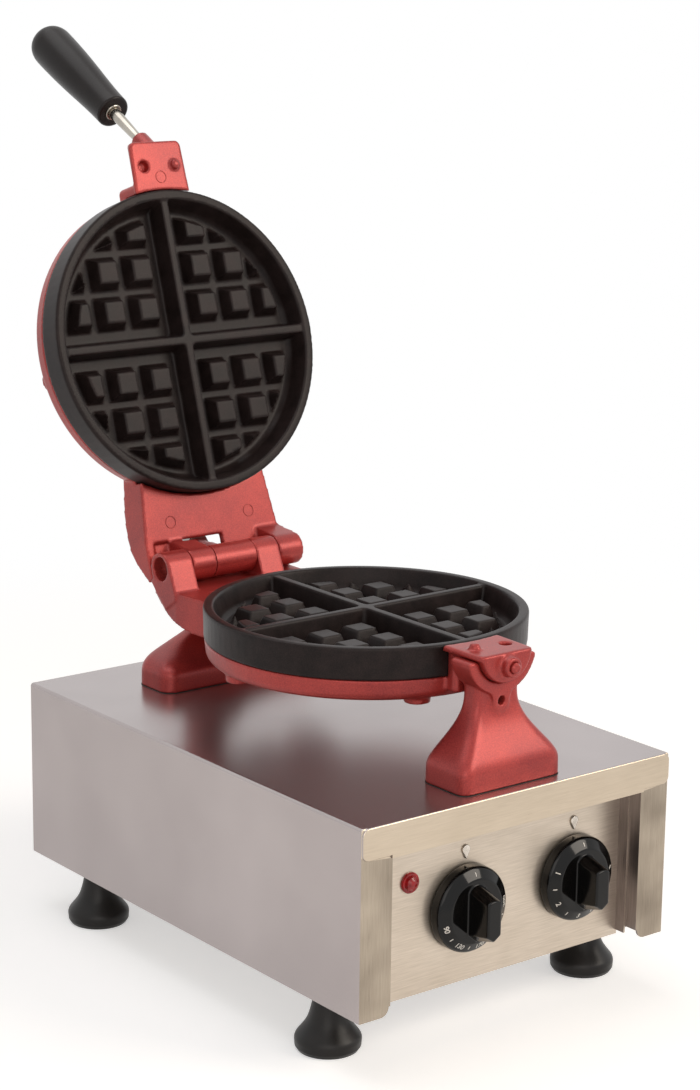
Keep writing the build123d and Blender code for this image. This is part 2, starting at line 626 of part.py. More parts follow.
    # Seat of the plate, room for the heater, posts for the plate's screws
    Cylinder(
        PLATE_RADIUS + SEAT_GAP, PLATE_HEIGHT,
        align=(Align.CENTER, Align.CENTER, Align.MIN), mode=Mode.SUBTRACT,
    )
    with Locations((0, 0, PLATE_HEIGHT)):
        Cylinder(
            SHELL_RADIUS - 5, SHELL_BOTTOM - SHELL_WALL - PLATE_HEIGHT,
            align=(Align.CENTER, Align.CENTER, Align.MIN), mode=Mode.SUBTRACT,
        )
    with Locations(*[(x, y, PLATE_HEIGHT) for x, y in POSTS]):
        Cylinder(
            POST_RADIUS, SHELL_BOTTOM + POST_HEIGHT - PLATE_HEIGHT,
            align=(Align.CENTER, Align.CENTER, Align.MIN),
        )
    with Locations(*[(x, y, SHELL_BOTTOM + POST_HEIGHT) for x, y in POSTS]):
        CounterBoreHole(POST_SCREW + 0.2, 4.0, 3.0, depth=40)
    # Bore of the hinge pin
    with Locations(Plane.YZ.offset(-HINGE_HALF - 1)):
        with Locations((HINGE_REACH, 0)):
            Cylinder(
                PIN_RADIUS + FIT, 2 * HINGE_HALF + 2,
                align=(Align.CENTER, Align.CENTER, Align.MIN), mode=Mode.SUBTRACT,
            )

# The 45 degree axis of the handle, in the upper casting
HANDLE_AXIS = Plane(origin=(0, -JOURNAL_END, ARM_FACE), x_dir=(1, 0, 0), z_dir=(0, -1, 1))
with BuildPart() as handle_boss:
    with Locations(HANDLE_AXIS):
        Cylinder(BOSS_RADIUS, 15, align=(Align.CENTER, Align.CENTER, Align.CENTER))
        Sphere(BOSS_RADIUS)
    with BuildSketch(Plane.XY.offset(PARTING_GAP)):
        Rectangle(60, 400)
    extrude(amount=60, mode=Mode.INTERSECT)
with BuildPart() as handle_socket:
    with Locations(HANDLE_AXIS):
        Cylinder(ROD_TENON + FIT, 40, align=(Align.CENTER, Align.CENTER, Align.MIN))
with BuildPart() as handle_rod:
    with Locations(HANDLE_AXIS):
        Cylinder(ROD_TENON, 12, align=(Align.CENTER, Align.CENTER, Align.MIN))
    with Locations(HANDLE_AXIS.offset(12)):
        Cone(ROD_TENON, ROD_RADIUS, GRIP_START - 12, align=(Align.CENTER, Align.CENTER, Align.MIN))
    with Locations(HANDLE_AXIS.offset(GRIP_START)):
        Cylinder(ROD_RADIUS, 60, align=(Align.CENTER, Align.CENTER, Align.MIN))
with BuildPart() as handle_grip:
    with BuildSketch(Plane.XZ):
        with BuildLine():
            neck = Line((0, 0), (GRIP_SMALL - 2, 0))
            lower = RadiusArc(neck @ 1, (GRIP_SMALL, 2), -2)
            flank = Spline(
                lower @ 1, (14.2, 45.0), (GRIP_LARGE, GRIP_LENGTH - 15), tangents=[(0, 1), (0, 1)],
            )
            dome = Spline(
                flank @ 1, (12.4, GRIP_LENGTH - 4), (0, GRIP_LENGTH), tangents=[(0, 1), (-1, 0)],
            )
            Line(dome @ 1, (0, 0))
        make_face()
    revolve(axis=Axis.Z)
    Cylinder(
        ROD_RADIUS + FIT, 60.5, align=(Align.CENTER, Align.CENTER, Align.MIN), mode=Mode.SUBTRACT,
    )
    Cylinder(
        FERRULE_RADIUS + FIT, 7, align=(Align.CENTER, Align.CENTER, Align.MIN), mode=Mode.SUBTRACT,
    )
with BuildPart() as handle_ferrule:
    with BuildSketch(Plane.XY.offset(-0.8)):
        Circle(FERRULE_RADIUS)
        Circle(ROD_RADIUS + FIT, mode=Mode.SUBTRACT)
    extrude(amount=7.7)
    chamfer(handle_ferrule.edges().filter_by(GeomType.CIRCLE).sort_by(Axis.Z)[:2], 0.35)
GRIP_AXIS = Plane(
    origin=HANDLE_AXIS.from_local_coords((0, 0, GRIP_START)),
    x_dir=(1, 0, 0), z_dir=(0, -1, 1),
)

# Front boss of the lower casting, on the face of its journal, with the pin that fits it
with BuildPart() as front_boss:
    with BuildSketch(Plane.XZ.offset(JOURNAL_END - 1)):
        with Locations((0, FRONT_BOSS_DEPTH)):
            Circle(FRONT_BOSS_RADIUS)
    extrude(amount=7)
    tip = front_boss.faces().sort_by(Axis.Y)[0]
    fillet(tip.edges(), 1.5)
with BuildPart() as index_hole:
    with BuildSketch(Plane.XZ.offset(JOURNAL_END - 6)):
        with Locations((0, FRONT_BOSS_DEPTH)):
            Circle(INDEX_RADIUS + FIT)
    extrude(amount=20)
with BuildPart() as seat_hole:
    with BuildSketch(Plane.XY.offset(JOURNAL_RADIUS + 1)):
        with Locations((0, SEAT_SCREW_Y - PLATE_Y)):
            Circle(SEAT_SCREW + FIT)
    extrude(amount=-9)

# Heater: one loop of tube that lies against the plate's back
with BuildPart() as heater:
    with BuildSketch(Plane.XZ):
        with Locations((HEATER_RING, PLATE_HEIGHT + HEATER_TUBE + 0.3)):
            Circle(HEATER_TUBE)
    revolve(axis=Axis.Z, revolution_arc=344)

# Screws that hold the plate, one through each post
with BuildPart() as plate_screws:
    with Locations(*[(x, y, SHELL_BOTTOM + POST_HEIGHT - 0.4) for x, y in POSTS]):
        Cylinder(3.7, 2.4, align=(Align.CENTER, Align.CENTER, Align.MAX))
        Cylinder(
            POST_SCREW, SHELL_BOTTOM + POST_HEIGHT - PLATE_HEIGHT + 2.8,
            align=(Align.CENTER, Align.CENTER, Align.MAX),
        )
    with BuildSketch(Plane.XY.offset(SHELL_BOTTOM + POST_HEIGHT - 0.4)):
        with Locations(*POSTS):
            RegularPolygon(2.0, 6)
    extrude(amount=-1.4, mode=Mode.SUBTRACT)

# The upper casting's face has a window, through which the trunnion passes when it stands open,
# and is set back beside it, where the lower casting's end knuckle turns
with BuildPart() as window:
    with Locations(((WINDOW_LEFT + WINDOW_RIGHT) / 2, ARM_FACE_END, KNUCKLE_RADIUS + 0.4)):
        Box(WINDOW_RIGHT - WINDOW_LEFT, 60, 40, align=(Align.CENTER, Align.MIN, Align.MIN))
    with Locations((-(ARM_HALF_HINGE - ARM_WALL + KNUCKLE_SPLIT) / 2, ARM_FACE_END, ARM_FACE)):
        Box(
            ARM_HALF_HINGE - ARM_WALL - KNUCKLE_SPLIT, 60, 5,
            align=(Align.CENTER, Align.MIN, Align.CENTER),
        )

LOWER_SHELL = casting.part + front_boss.part - index_hole.part - seat_hole.part
UPPER_SHELL = casting.part + handle_boss.part - handle_socket.part - window.part
for where, frame, shell in (("lower", LOWER_FRAME, LOWER_SHELL), ("upper", UPPER_FRAME, UPPER_SHELL)):
    keep(frame.location * shell, f"{where}_casting")
    keep(frame.location * waffle_plate.part, f"{where}_plate")
    keep(frame.location * heater.part, f"{where}_heater")
    keep(frame.location * plate_screws.part, f"{where}_plate_screws")
keep(UPPER_FRAME.location * handle_rod.part, "handle_rod")
keep(UPPER_FRAME.location * GRIP_AXIS.location * handle_grip.part, "handle_grip")
keep(UPPER_FRAME.location * GRIP_AXIS.location * handle_ferrule.part, "handle_ferrule")

with BuildPart() as index_pin:
    with BuildSketch(Plane.XZ.offset(JOURNAL_END - 5)):
        with Locations((0, FRONT_BOSS_DEPTH)):
            Circle(INDEX_RADIUS)
    extrude(amount=13.5)
    chamfer(index_pin.faces().sort_by(Axis.Y)[0].edges(), 1.2)
keep(LOWER_FRAME.location * index_pin.part, "index_pin")

# Hinge: a tube pin through the four knuckles, and a trunnion whose sleeve fills the middle
with BuildPart() as hinge_pin:
    with Locations(Plane(origin=(-PIN_HALF, HINGE_Y, PARTING_Z), x_dir=(0, 1, 0), z_dir=(1, 0, 0))):
        Cylinder(PIN_RADIUS, 2 * PIN_HALF, align=(Align.CENTER, Align.CENTER, Align.MIN))
        Cylinder(
            PIN_BORE, 2 * PIN_HALF, align=(Align.CENTER, Align.CENTER, Align.MIN), mode=Mode.SUBTRACT,
        )
keep(hinge_pin.part, "hinge_pin")

STEM_END = REAR_NECK_BACK + 9.0
with BuildPart() as trunnion:
    with BuildSketch(Plane.YZ.offset(-KNUCKLE_INNER + KNUCKLE_GAP)):
        with Locations((HINGE_Y, PARTING_Z)):
            Circle(KNUCKLE_RADIUS - 0.3)
    extrude(amount=2 * (KNUCKLE_INNER - KNUCKLE_GAP))
    with BuildSketch(seen_from_front(HINGE_Y)):
        with Locations((0, PARTING_Z)):
            Circle(STEM_RADIUS)
    extrude(amount=-(STEM_END - HINGE_Y))
    with BuildSketch(seen_from_front(HINGE_Y + 4)):
        with Locations((0, PARTING_Z)):
            Circle(COLLAR_RADIUS)
    extrude(amount=-(REAR_NECK_FRONT - 0.1 - HINGE_Y - 4))
    with BuildSketch(Plane.YZ.offset(-HINGE_HALF)):
        with Locations((HINGE_Y, PARTING_Z)):
            Circle(PIN_RADIUS + FIT)
    extrude(amount=2 * HINGE_HALF, mode=Mode.SUBTRACT)
keep(trunnion.part, "trunnion")

with BuildPart() as trunnion_nut:
    with BuildSketch(seen_from_front(REAR_NECK_BACK + 0.1)):
        with Locations((0, PARTING_Z)):
            RegularPolygon(11.0, 6)
            Circle(STEM_RADIUS + FIT, mode=Mode.SUBTRACT)
    extrude(amount=-6.5)
keep(trunnion_nut.part, "trunnion_nut")

# Screw that holds the lower journal down in its saddle, let into the pedestal from below
with BuildPart() as journal_screw:
    with Locations((0, SEAT_SCREW_Y, SEAT_HEAD_Z)):
        Cylinder(4.4, 4.0, align=(Align.CENTER, Align.CENTER, Align.MAX))
        Cylinder(
            SEAT_SCREW, PARTING_Z - JOURNAL_RADIUS + 7.5 - SEAT_HEAD_Z,
            align=(Align.CENTER, Align.CENTER, Align.MIN),
        )
keep(journal_screw.part, "journal_screw")

# Pedestal bolts, from inside the casing
with BuildPart() as pedestal_bolts:
    with Locations(
        *[(sx * FRONT_BOLT_X, FRONT_BOLT_Y, CASE_TOP - SHEET - 0.05) for sx in (-1, 1)],
        *[(sx * REAR_BOLT_X, REAR_BOLT_Y, CASE_TOP - SHEET - 0.05) for sx in (-1, 1)],
    ):
        Cylinder(5.0, 3.5, align=(Align.CENTER, Align.CENTER, Align.MAX))
        Cylinder(2.5, 10, align=(Align.CENTER, Align.CENTER, Align.MIN))
keep(pedestal_bolts.part, "pedestal_bolts")


def half_section(*outline):
    """Face to turn about the y axis, from (radius, y) points joined by straight lines."""
    with BuildSketch(Plane.XY) as drawn:
        with BuildLine():
            Polyline(*outline, close=True)
        make_face()
    return drawn.sketch


# Knob: a dished skirt with a sloping dial face and a pointed grip bar across it
with BuildPart() as knob:
    section = half_section(
        (0, -KNOB_SKIRT - 3.5), (20.5, -KNOB_SKIRT - 3.5), (KNOB_RADIUS - 1.4, -KNOB_SKIRT),
        (KNOB_RADIUS - 0.4, -KNOB_SKIRT + 1.4), (KNOB_RADIUS, 0), (KNOB_RADIUS - 2.2, 0),
        (KNOB_RADIUS - 2.6, -4.6), (7.5, -4.6), (7.5, 0), (0, 0),
    )
    revolve(section, axis=Axis.Y)
    with BuildSketch(Plane.XZ.offset(KNOB_SKIRT)):
        with BuildLine():
            root = Line((-7.0, 14.0), (-7.0, -14.0))
            point = Line(root @ 1, (0, -20.5))
            other = Line(point @ 1, (7.0, -14.0))
            side = Line(other @ 1, (7.0, 14.0))
            ThreePointArc(side @ 1, (0, 18.5), root @ 0)
        make_face()
    with BuildSketch(Plane.XZ.offset(KNOB_REACH)):
        with BuildLine():
            root = Line((-5.4, 10.0), (-5.4, -11.0))
            point = Line(root @ 1, (0, -14.5))
            other = Line(point @ 1, (5.4, -11.0))
            side = Line(other @ 1, (5.4, 10.0))
            ThreePointArc(side @ 1, (0, 11.5), root @ 0)
        make_face()
    loft()
    bar_rim = knob.faces().sort_by(Axis.Y)[0].edges()
    fillet(bar_rim, 1.0)
    with BuildSketch(Plane.XZ):
        Circle(SHAFT_RADIUS + FIT)
    extrude(amount=KNOB_SKIRT, mode=Mode.SUBTRACT)

with BuildPart() as shaft:
    with BuildSketch(Plane.XZ.offset(KNOB_SKIRT - 0.2)):
        Circle(SHAFT_RADIUS)
    extrude(amount=-(KNOB_SKIRT - 0.2 + KNOB_GAP + SHEET + 12))

KNOB_Y = PANEL_Y - KNOB_GAP
for name, x in (("thermostat", THERMOSTAT_X), ("timer", TIMER_X)):
    seat = Location((x, KNOB_Y, CONTROL_Z))
    keep(seat * knob.part, f"{name}_knob")
    keep(seat * shaft.part, f"{name}_shaft")

# Thermostat and timer behind the panel, each held by two screws that its knob hides
BEHIND = PANEL_Y + SHEET
for name, x, width, height, depth in (
    ("thermostat", THERMOSTAT_X, 38.0, 36.0, 26.0), ("timer", TIMER_X, 40.0, 46.0, 34.0),
):
    with BuildPart() as body:
        with BuildSketch(seen_from_front(BEHIND)):
            with Locations((x, CONTROL_Z)):
                RectangleRounded(width, height, 4)
        extrude(amount=-depth)
        with BuildSketch(seen_from_front(BEHIND + depth)):
            with Locations((x, CONTROL_Z + 8)):
                with GridLocations(18, 0, 2, 1):
                    Rectangle(0.8, 6.3)
        extrude(amount=-8)
        with BuildSketch(seen_from_front(BEHIND)):
            with Locations((x, CONTROL_Z)):
                Circle(SHAFT_RADIUS + 0.1)
                with GridLocations(28, 0, 2, 1):
                    Circle(1.95)
        extrude(amount=-13, mode=Mode.SUBTRACT)
    keep(body.part, f"{name}_body")

with BuildPart() as control_screws:
    with BuildSketch(seen_from_front(PANEL_Y)):
        with Locations((THERMOSTAT_X, CONTROL_Z), (TIMER_X, CONTROL_Z)):
            with GridLocations(28, 0, 2, 1):
                Circle(3.5)
    extrude(amount=2.2)
    with BuildSketch(seen_from_front(PANEL_Y)):
        with Locations((THERMOSTAT_X, CONTROL_Z), (TIMER_X, CONTROL_Z)):
            with GridLocations(28, 0, 2, 1):
                Circle(1.9)
    extrude(amount=-9)
keep(control_screws.part, "control_screws")

# Pilot lamp: a red lens with its bezel in front, the lamp body behind
with BuildPart() as lamp_lens:
    section = half_section(
        (0, -5.4), (2.3, -4.9), (4.2, -3.4), (5.0, -1.8), (6.2, -1.8), (6.7, -1.1), (6.7, 0), (5.9, 0),
        (5.9, 3.0), (0, 3.0),
    )
    revolve(section, axis=Axis.Y)
with BuildPart() as lamp_body:
    section = half_section(
        (0, 3.1), (5.4, 3.1), (5.4, 4.0), (8.5, 4.0), (8.5, 8.0), (6.0, 8.0), (6.0, 24.0), (0, 24.0),
    )
    revolve(section, axis=Axis.Y)
    with BuildSketch(Plane.XZ.offset(-24)):
        with GridLocations(6, 0, 2, 1):
            Rectangle(0.8, 4.8)
    extrude(amount=-7)
LAMP_SEAT = Location((LAMP_X, PANEL_Y, LAMP_Z))
keep(LAMP_SEAT * lamp_lens.part, "lamp_lens")
keep(LAMP_SEAT * lamp_body.part, "lamp_body")

# Cord inlet: a gland through the rear panel, clamped by a nut inside
with BuildPart() as cable_gland:
    section = half_section(
        (GLAND_BORE, 14.0), (7.6, 14.0), (9.6, 10.0), (9.6, 5.0), (12.0, 5.0), (12.0, 0), (7.9, 0),
        (7.9, -14.0), (GLAND_BORE, -14.0),
    )
    revolve(section, axis=Axis.Y)
with BuildPart() as gland_nut:
    with BuildSketch(Plane.XZ.offset(SHEET + 0.1)):
        RegularPolygon(13.0, 6)
        Circle(7.95, mode=Mode.SUBTRACT)
    extrude(amount=4.5)
GLAND_SEAT = Location((GLAND_X, BACK_Y - SHEET, GLAND_Z))
keep(GLAND_SEAT * cable_gland.part, "cable_gland")
keep(GLAND_SEAT * gland_nut.part, "gland_nut")

with BuildPart() as rear_screws:
    with Locations(*[(sx * REAR_SCREW_X, BACK_Y, z) for sx in (-1, 1) for z in REAR_SCREW_ZS]):
        Cylinder(3.4, 2.0, rotation=(90, 0, 0), align=(Align.CENTER, Align.CENTER, Align.MAX))
        Cylinder(1.5, 7.0, rotation=(90, 0, 0), align=(Align.CENTER, Align.CENTER, Align.MIN))
keep(rear_screws.part, "rear_screws")

# Terminal block and the earth stud on the tray
FLOOR_Z = CASE_BOTTOM + SHEET
with BuildPart() as terminal_block:
    with Locations((GLAND_X + 10, BACK_Y - 70, FLOOR_Z)):
        Box(44, 18, 15, align=(Align.CENTER, Align.CENTER, Align.MIN))
    with Locations((GLAND_X + 10, BACK_Y - 70, FLOOR_Z + 15)):
        with GridLocations(14, 0, 3, 1):
            Cylinder(4.6, 3.0, align=(Align.CENTER, Align.CENTER, Align.MIN))
            Cylinder(3.0, 9.0, mode=Mode.SUBTRACT)
keep(terminal_block.part, "terminal_block")

with BuildPart() as earth_stud:
    with Locations((GLAND_X + 50, BACK_Y - 70, FLOOR_Z)):
        Cylinder(3.0, 16.0, align=(Align.CENTER, Align.CENTER, Align.MIN))
    with BuildSketch(Plane.XY.offset(FLOOR_Z)):
        with Locations((GLAND_X + 50, BACK_Y - 70)):
            RegularPolygon(5.8, 6)
    extrude(amount=5)
keep(earth_stud.part, "earth_stud")

# Feet: rubber bells with a screw up through each into the tray
SOLE = 19.2
with BuildPart() as foot:
    with BuildSketch(Plane.XZ):
        with BuildLine():
            sole = Line((0, 0), (SOLE, 0))
            toe = Line(sole @ 1, (FOOT_RADIUS - 0.3, 2.4))
            rim = Line(toe @ 1, (FOOT_RADIUS, 6.2))
            bell = Spline(
                rim @ 1, (19.2, 10.6), (13.6, 18.5), (10.6, 28.0), (9.6, FOOT_HEIGHT),
                tangents=[(0, 1), (0, 1)],
            )
            Polyline(bell @ 1, (0, FOOT_HEIGHT), (0, 0))
        make_face()
    revolve(axis=Axis.Z)
    Cylinder(4.1, FOOT_HEIGHT, align=(Align.CENTER, Align.CENTER, Align.MIN), mode=Mode.SUBTRACT)
    Cylinder(8.0, 9.0, align=(Align.CENTER, Align.CENTER, Align.MIN), mode=Mode.SUBTRACT)
FEET = (
    ("foot_front_left", -FOOT_X, FOOT_FRONT_Y), ("foot_front_right", FOOT_X, FOOT_FRONT_Y),
    ("foot_rear_left", -FOOT_X, FOOT_BACK_Y), ("foot_rear_right", FOOT_X, FOOT_BACK_Y),
)
for name, x, y in FEET:
    keep(Location((x, y, 0)) * foot.part, name)

with BuildPart() as foot_screws:
    with Locations(*[(x, y, 4.0) for name, x, y in FEET]):
        Cylinder(7.2, 5.0, align=(Align.CENTER, Align.CENTER, Align.MIN))
        Cylinder(4.0, FOOT_HEIGHT + 6, align=(Align.CENTER, Align.CENTER, Align.MIN))
keep(foot_screws.part, "foot_screws")

with BuildPart() as foot_nuts:
    with BuildSketch(Plane.XY.offset(FLOOR_Z)):
        with Locations(*[(x, y) for name, x, y in FEET]):
            RegularPolygon(7.4, 6)
            Circle(4.05, mode=Mode.SUBTRACT)
    extrude(amount=5.5)
keep(foot_nuts.part, "foot_nuts")
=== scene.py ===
"""Looks of the round waffle maker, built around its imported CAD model.

The frame is the CAD model's own: metres, +Z up, the controls face -Y. Sizes in this file are in
millimetres, apart from the studio's lamps and floor, which are in metres. They are turned to metres
where a mesh or a node is made.
"""
import json
import logging
import math
from dataclasses import dataclass
from enum import Enum
from typing import Any

import bpy
from mathutils import Matrix, Vector


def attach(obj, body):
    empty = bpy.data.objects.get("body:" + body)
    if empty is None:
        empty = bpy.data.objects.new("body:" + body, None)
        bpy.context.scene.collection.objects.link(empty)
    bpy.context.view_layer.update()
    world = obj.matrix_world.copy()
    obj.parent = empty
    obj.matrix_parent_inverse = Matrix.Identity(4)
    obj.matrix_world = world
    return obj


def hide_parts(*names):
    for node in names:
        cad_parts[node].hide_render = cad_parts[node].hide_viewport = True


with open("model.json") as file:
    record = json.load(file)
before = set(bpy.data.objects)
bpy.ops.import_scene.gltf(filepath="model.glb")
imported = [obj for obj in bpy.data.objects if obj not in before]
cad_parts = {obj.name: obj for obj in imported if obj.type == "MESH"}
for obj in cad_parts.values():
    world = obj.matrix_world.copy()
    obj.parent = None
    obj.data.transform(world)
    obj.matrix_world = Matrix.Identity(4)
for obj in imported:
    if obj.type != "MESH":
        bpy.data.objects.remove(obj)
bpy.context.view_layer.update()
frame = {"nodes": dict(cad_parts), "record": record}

NODES: dict[str, bpy.types.Object] = frame["nodes"]
MM = 0.001
log = logging.getLogger("waffle_maker")

# Places and sizes of the CAD model that pieces are set against, in millimetres
FRONT_Y = -268.5
CASE_BOTTOM = 38.5
CASE_TOP = 160.5
HALF_WIDTH = 125.0
PANEL_Y = FRONT_Y + 19.0
KNOB_Y = PANEL_Y - 1.0
CONTROL_Z = CASE_BOTTOM + 47.5
THERMOSTAT_X = -29.5
TIMER_X = 60.3
MARK_Z = CASE_BOTTOM + 84.5
LIP_FOOT = 138.0
BODY_FOOT = CASE_TOP + 0.5
FRONT_BODY_TOP = CASE_TOP + 52.0
REAR_BODY_TOP = CASE_TOP + 38.0
PLATE_Y = FRONT_Y + 157.3
PARTING_Z = CASE_BOTTOM + 205.0
HINGE_REACH = 154.0
HINGE_Y = PLATE_Y + HINGE_REACH


class Along(Enum):
    """The way the brush lines of a sheet run."""

    X = (0.04, 1.0, 1.0)
    Y = (1.0, 0.04, 1.0)
    Z = (1.0, 1.0, 0.04)


def linear(hex_code: str) -> tuple[float, float, float, float]:
    """Turn an sRGB hex colour to linear values.

    Args:
        hex_code: six hex digits, such as "B5423F".

    Returns:
        Red, green, blue and an alpha of 1.
    """
    channels = (int(hex_code[i:i + 2], 16) / 255 for i in (0, 2, 4))
    red, green, blue = (
        c / 12.92 if c <= 0.04045 else ((c + 0.055) / 1.055) ** 2.4 for c in channels
    )
    return red, green, blue, 1.0


def add_node(
    tree: bpy.types.NodeTree,
    kind: str,
    values: dict[Any, Any] | None = None,
    links: dict[Any, bpy.types.NodeSocket] | None = None,
    **settings: Any,
) -> bpy.types.Node:
    """Add a node with its settings, socket values and incoming links.

    Args:
        tree: the node tree that takes it.
        kind: the node's type, such as "ShaderNodeTexNoise".
        values: socket name or number to its value.
        links: socket name or number to the output that feeds it.
        **settings: properties of the node itself.

    Returns:
        The new node.
    """
    node = tree.nodes.new(kind)
    for name, value in settings.items():
        setattr(node, name, value)
    for name, value in (values or {}).items():
        node.inputs[name].default_value = value
    for name, source in (links or {}).items():
        tree.links.new(source, node.inputs[name])
    return node


def blank_material(name: str) -> tuple[bpy.types.Material, bpy.types.NodeTree]:
    """Make an empty node material.

    Args:
        name: the material's name.

    Returns:
        The material and its node tree.
    """
    material = bpy.data.materials.new(name)
    material.use_nodes = True
    material.node_tree.nodes.clear()
    return material, material.node_tree


def add_ramp(
    tree: bpy.types.NodeTree,
    source: bpy.types.NodeSocket,
    low: str,
    high: str,
    span: tuple[float, float],
) -> bpy.types.Node:
    """Blend between two colours by a pattern.

    Args:
        tree: the node tree that takes it.
        source: the pattern's output.
        low: sRGB hex colour at the start of the span.
        high: sRGB hex colour at its end.
        span: the pattern's values between which the colour changes.

    Returns:
        The ramp's node.
    """
    ramp = add_node(tree, "ShaderNodeValToRGB", None, {"Fac": source})
    for element, place, colour in zip(ramp.color_ramp.elements, span, (low, high)):
        element.position = place
        element.color = linear(colour)
    return ramp


# Noise stays near its middle, so these parts of it carry the whole change of tone
COAT_SPAN = (0.36, 0.64)
SHEET_SPAN = (0.3, 0.7)
# A pattern of cells uses all of its range
FULL_SPAN = (0.0, 1.0)


@dataclass(frozen=True)
class Coat:
    """A finish whose colour varies a little and whose surface has a fine grain.

    Cast, moulded and sprayed surfaces all differ from a plain colour by the same three things:
    slow patches of tone, a fine grain that breaks up highlights, and an uneven gloss.
    """

    name: str
    base: str
    dark: str
    roughness: float
    metallic: float = 0.0
    patch_mm: float = 30.0
    grain_mm: float = 0.5
    grain_depth_mm: float = 0.02
    tone_grain: float = 0.35
    gloss_spread: float = 0.08
    specular: float = 0.5
    coat: float = 0.0
    coat_roughness: float = 0.2

    def build(self) -> bpy.types.Material:
        """Make the node material.

        Returns:
            The new material.
        """
        material, tree = blank_material(self.name)
        place = add_node(tree, "ShaderNodeTexCoord")
        patches = add_node(
            tree, "ShaderNodeTexNoise",
            {"Scale": 1 / (self.patch_mm * MM), "Detail": 3.0, "Roughness": 0.55},
            {"Vector": place.outputs["Object"]},
        )
        grain = add_node(
            tree, "ShaderNodeTexNoise",
            {"Scale": 1 / (self.grain_mm * MM), "Detail": 2.0, "Roughness": 0.6},
            {"Vector": place.outputs["Object"]},
        )
        blend = add_node(
            tree, "ShaderNodeMix", {0: self.tone_grain},
            {2: patches.outputs["Fac"], 3: grain.outputs["Fac"]}, data_type="FLOAT",
        )
        tone = add_ramp(tree, blend.outputs[0], self.dark, self.base, COAT_SPAN)
        gloss = add_node(
            tree, "ShaderNodeMapRange",
            {
                "To Min": self.roughness - self.gloss_spread,
                "To Max": self.roughness + self.gloss_spread,
            },
            {"Value": blend.outputs[0]},
        )
        bump = add_node(
            tree, "ShaderNodeBump", {"Strength": 1.0, "Distance": self.grain_depth_mm * MM},
            {"Height": grain.outputs["Fac"]},
        )
        shader = add_node(
            tree, "ShaderNodeBsdfPrincipled",
            {
                "Metallic": self.metallic, "Specular IOR Level": self.specular,
                "Coat Weight": self.coat, "Coat Roughness": self.coat_roughness,
            },
            {
                "Base Color": tone.outputs["Color"], "Roughness": gloss.outputs[0],
                "Normal": bump.outputs["Normal"],
            },
        )
        add_node(tree, "ShaderNodeOutputMaterial", None, {"Surface": shader.outputs["BSDF"]})
        return material


@dataclass(frozen=True)
class BrushedSheet:
    """Stainless sheet with a fine brushed line, drawn about four times as coarse as it is."""

    name: str
    light: str
    dark: str
    along: Along
    roughness: float = 0.34
    metallic: float = 0.9
    line_mm: float = 0.7
    cloud_mm: float = 60.0
    cloud_share: float = 0.45
    gloss_spread: float = 0.06
    groove_mm: float = 0.01

    def build(self) -> bpy.types.Material:
        """Make the node material.

        Returns:
            The new material.
        """
        material, tree = blank_material(self.name)
        place = add_node(tree, "ShaderNodeTexCoord")
        stretch = add_node(
            tree, "ShaderNodeMapping", {"Scale": self.along.value},
            {"Vector": place.outputs["Object"]},
        )
        lines = add_node(
            tree, "ShaderNodeTexNoise",
            {"Scale": 1 / (self.line_mm * MM), "Detail": 3.0, "Roughness": 0.65},
            {"Vector": stretch.outputs["Vector"]},
        )
        clouds = add_node(
            tree, "ShaderNodeTexNoise",
            {"Scale": 1 / (self.cloud_mm * MM), "Detail": 2.0, "Roughness": 0.5},
            {"Vector": place.outputs["Object"]},
        )
        blend = add_node(
            tree, "ShaderNodeMix", {0: self.cloud_share},
            {2: lines.outputs["Fac"], 3: clouds.outputs["Fac"]}, data_type="FLOAT",
        )
        tone = add_ramp(tree, blend.outputs[0], self.dark, self.light, SHEET_SPAN)
        gloss = add_node(
            tree, "ShaderNodeMapRange",
            {
                "To Min": self.roughness - self.gloss_spread,
                "To Max": self.roughness + self.gloss_spread,
            },
            {"Value": lines.outputs["Fac"]},
        )
        bump = add_node(
            tree, "ShaderNodeBump", {"Strength": 0.5, "Distance": self.groove_mm * MM},
            {"Height": lines.outputs["Fac"]},
        )
        shader = add_node(
            tree, "ShaderNodeBsdfPrincipled", {"Metallic": self.metallic},
            {
                "Base Color": tone.outputs["Color"], "Roughness": gloss.outputs[0],
                "Normal": bump.outputs["Normal"],
            },
        )
        add_node(tree, "ShaderNodeOutputMaterial", None, {"Surface": shader.outputs["BSDF"]})
        return material


@dataclass(frozen=True)
class ClearLens:
    """Transparent polycarbonate, moulded smooth; a pattern of cells stands for the facets inside,
    and the brighter middle of each cell is a painted glint.
    """

    name: str
    painted_glint: str
    rim: str
    facet_mm: float = 4.0

    def build(self) -> bpy.types.Material:
        """Make the node material.

        Returns:
            The new material.
        """
        material, tree = blank_material(self.name)
        place = add_node(tree, "ShaderNodeTexCoord")
        cells = add_node(
            tree, "ShaderNodeTexVoronoi", {"Scale": 1 / (self.facet_mm * MM)},
            {"Vector": place.outputs["Object"]},
        )
        tone = add_ramp(tree, cells.outputs["Distance"], self.painted_glint, self.rim, FULL_SPAN)
        shader = add_node(
            tree, "ShaderNodeBsdfPrincipled",
            {"Roughness": 0.1, "Transmission Weight": 0.15, "IOR": 1.58, "Specular IOR Level": 0.3},
            {"Base Color": tone.outputs["Color"]},
        )
        add_node(tree, "ShaderNodeOutputMaterial", None, {"Surface": shader.outputs["BSDF"]})
        return material


# Die-cast aluminium sprayed with metallic red: satin and speckled, its flakes drawn twice as coarse
RED_PAINT = Coat(
    "metallic_red_paint", "BC433C", "8E2C2C", roughness=0.38, metallic=0.35, patch_mm=45,
    grain_mm=0.9, grain_depth_mm=0.022, tone_grain=0.5, gloss_spread=0.08, specular=0.4,
    coat=0.15, coat_roughness=0.22,
)
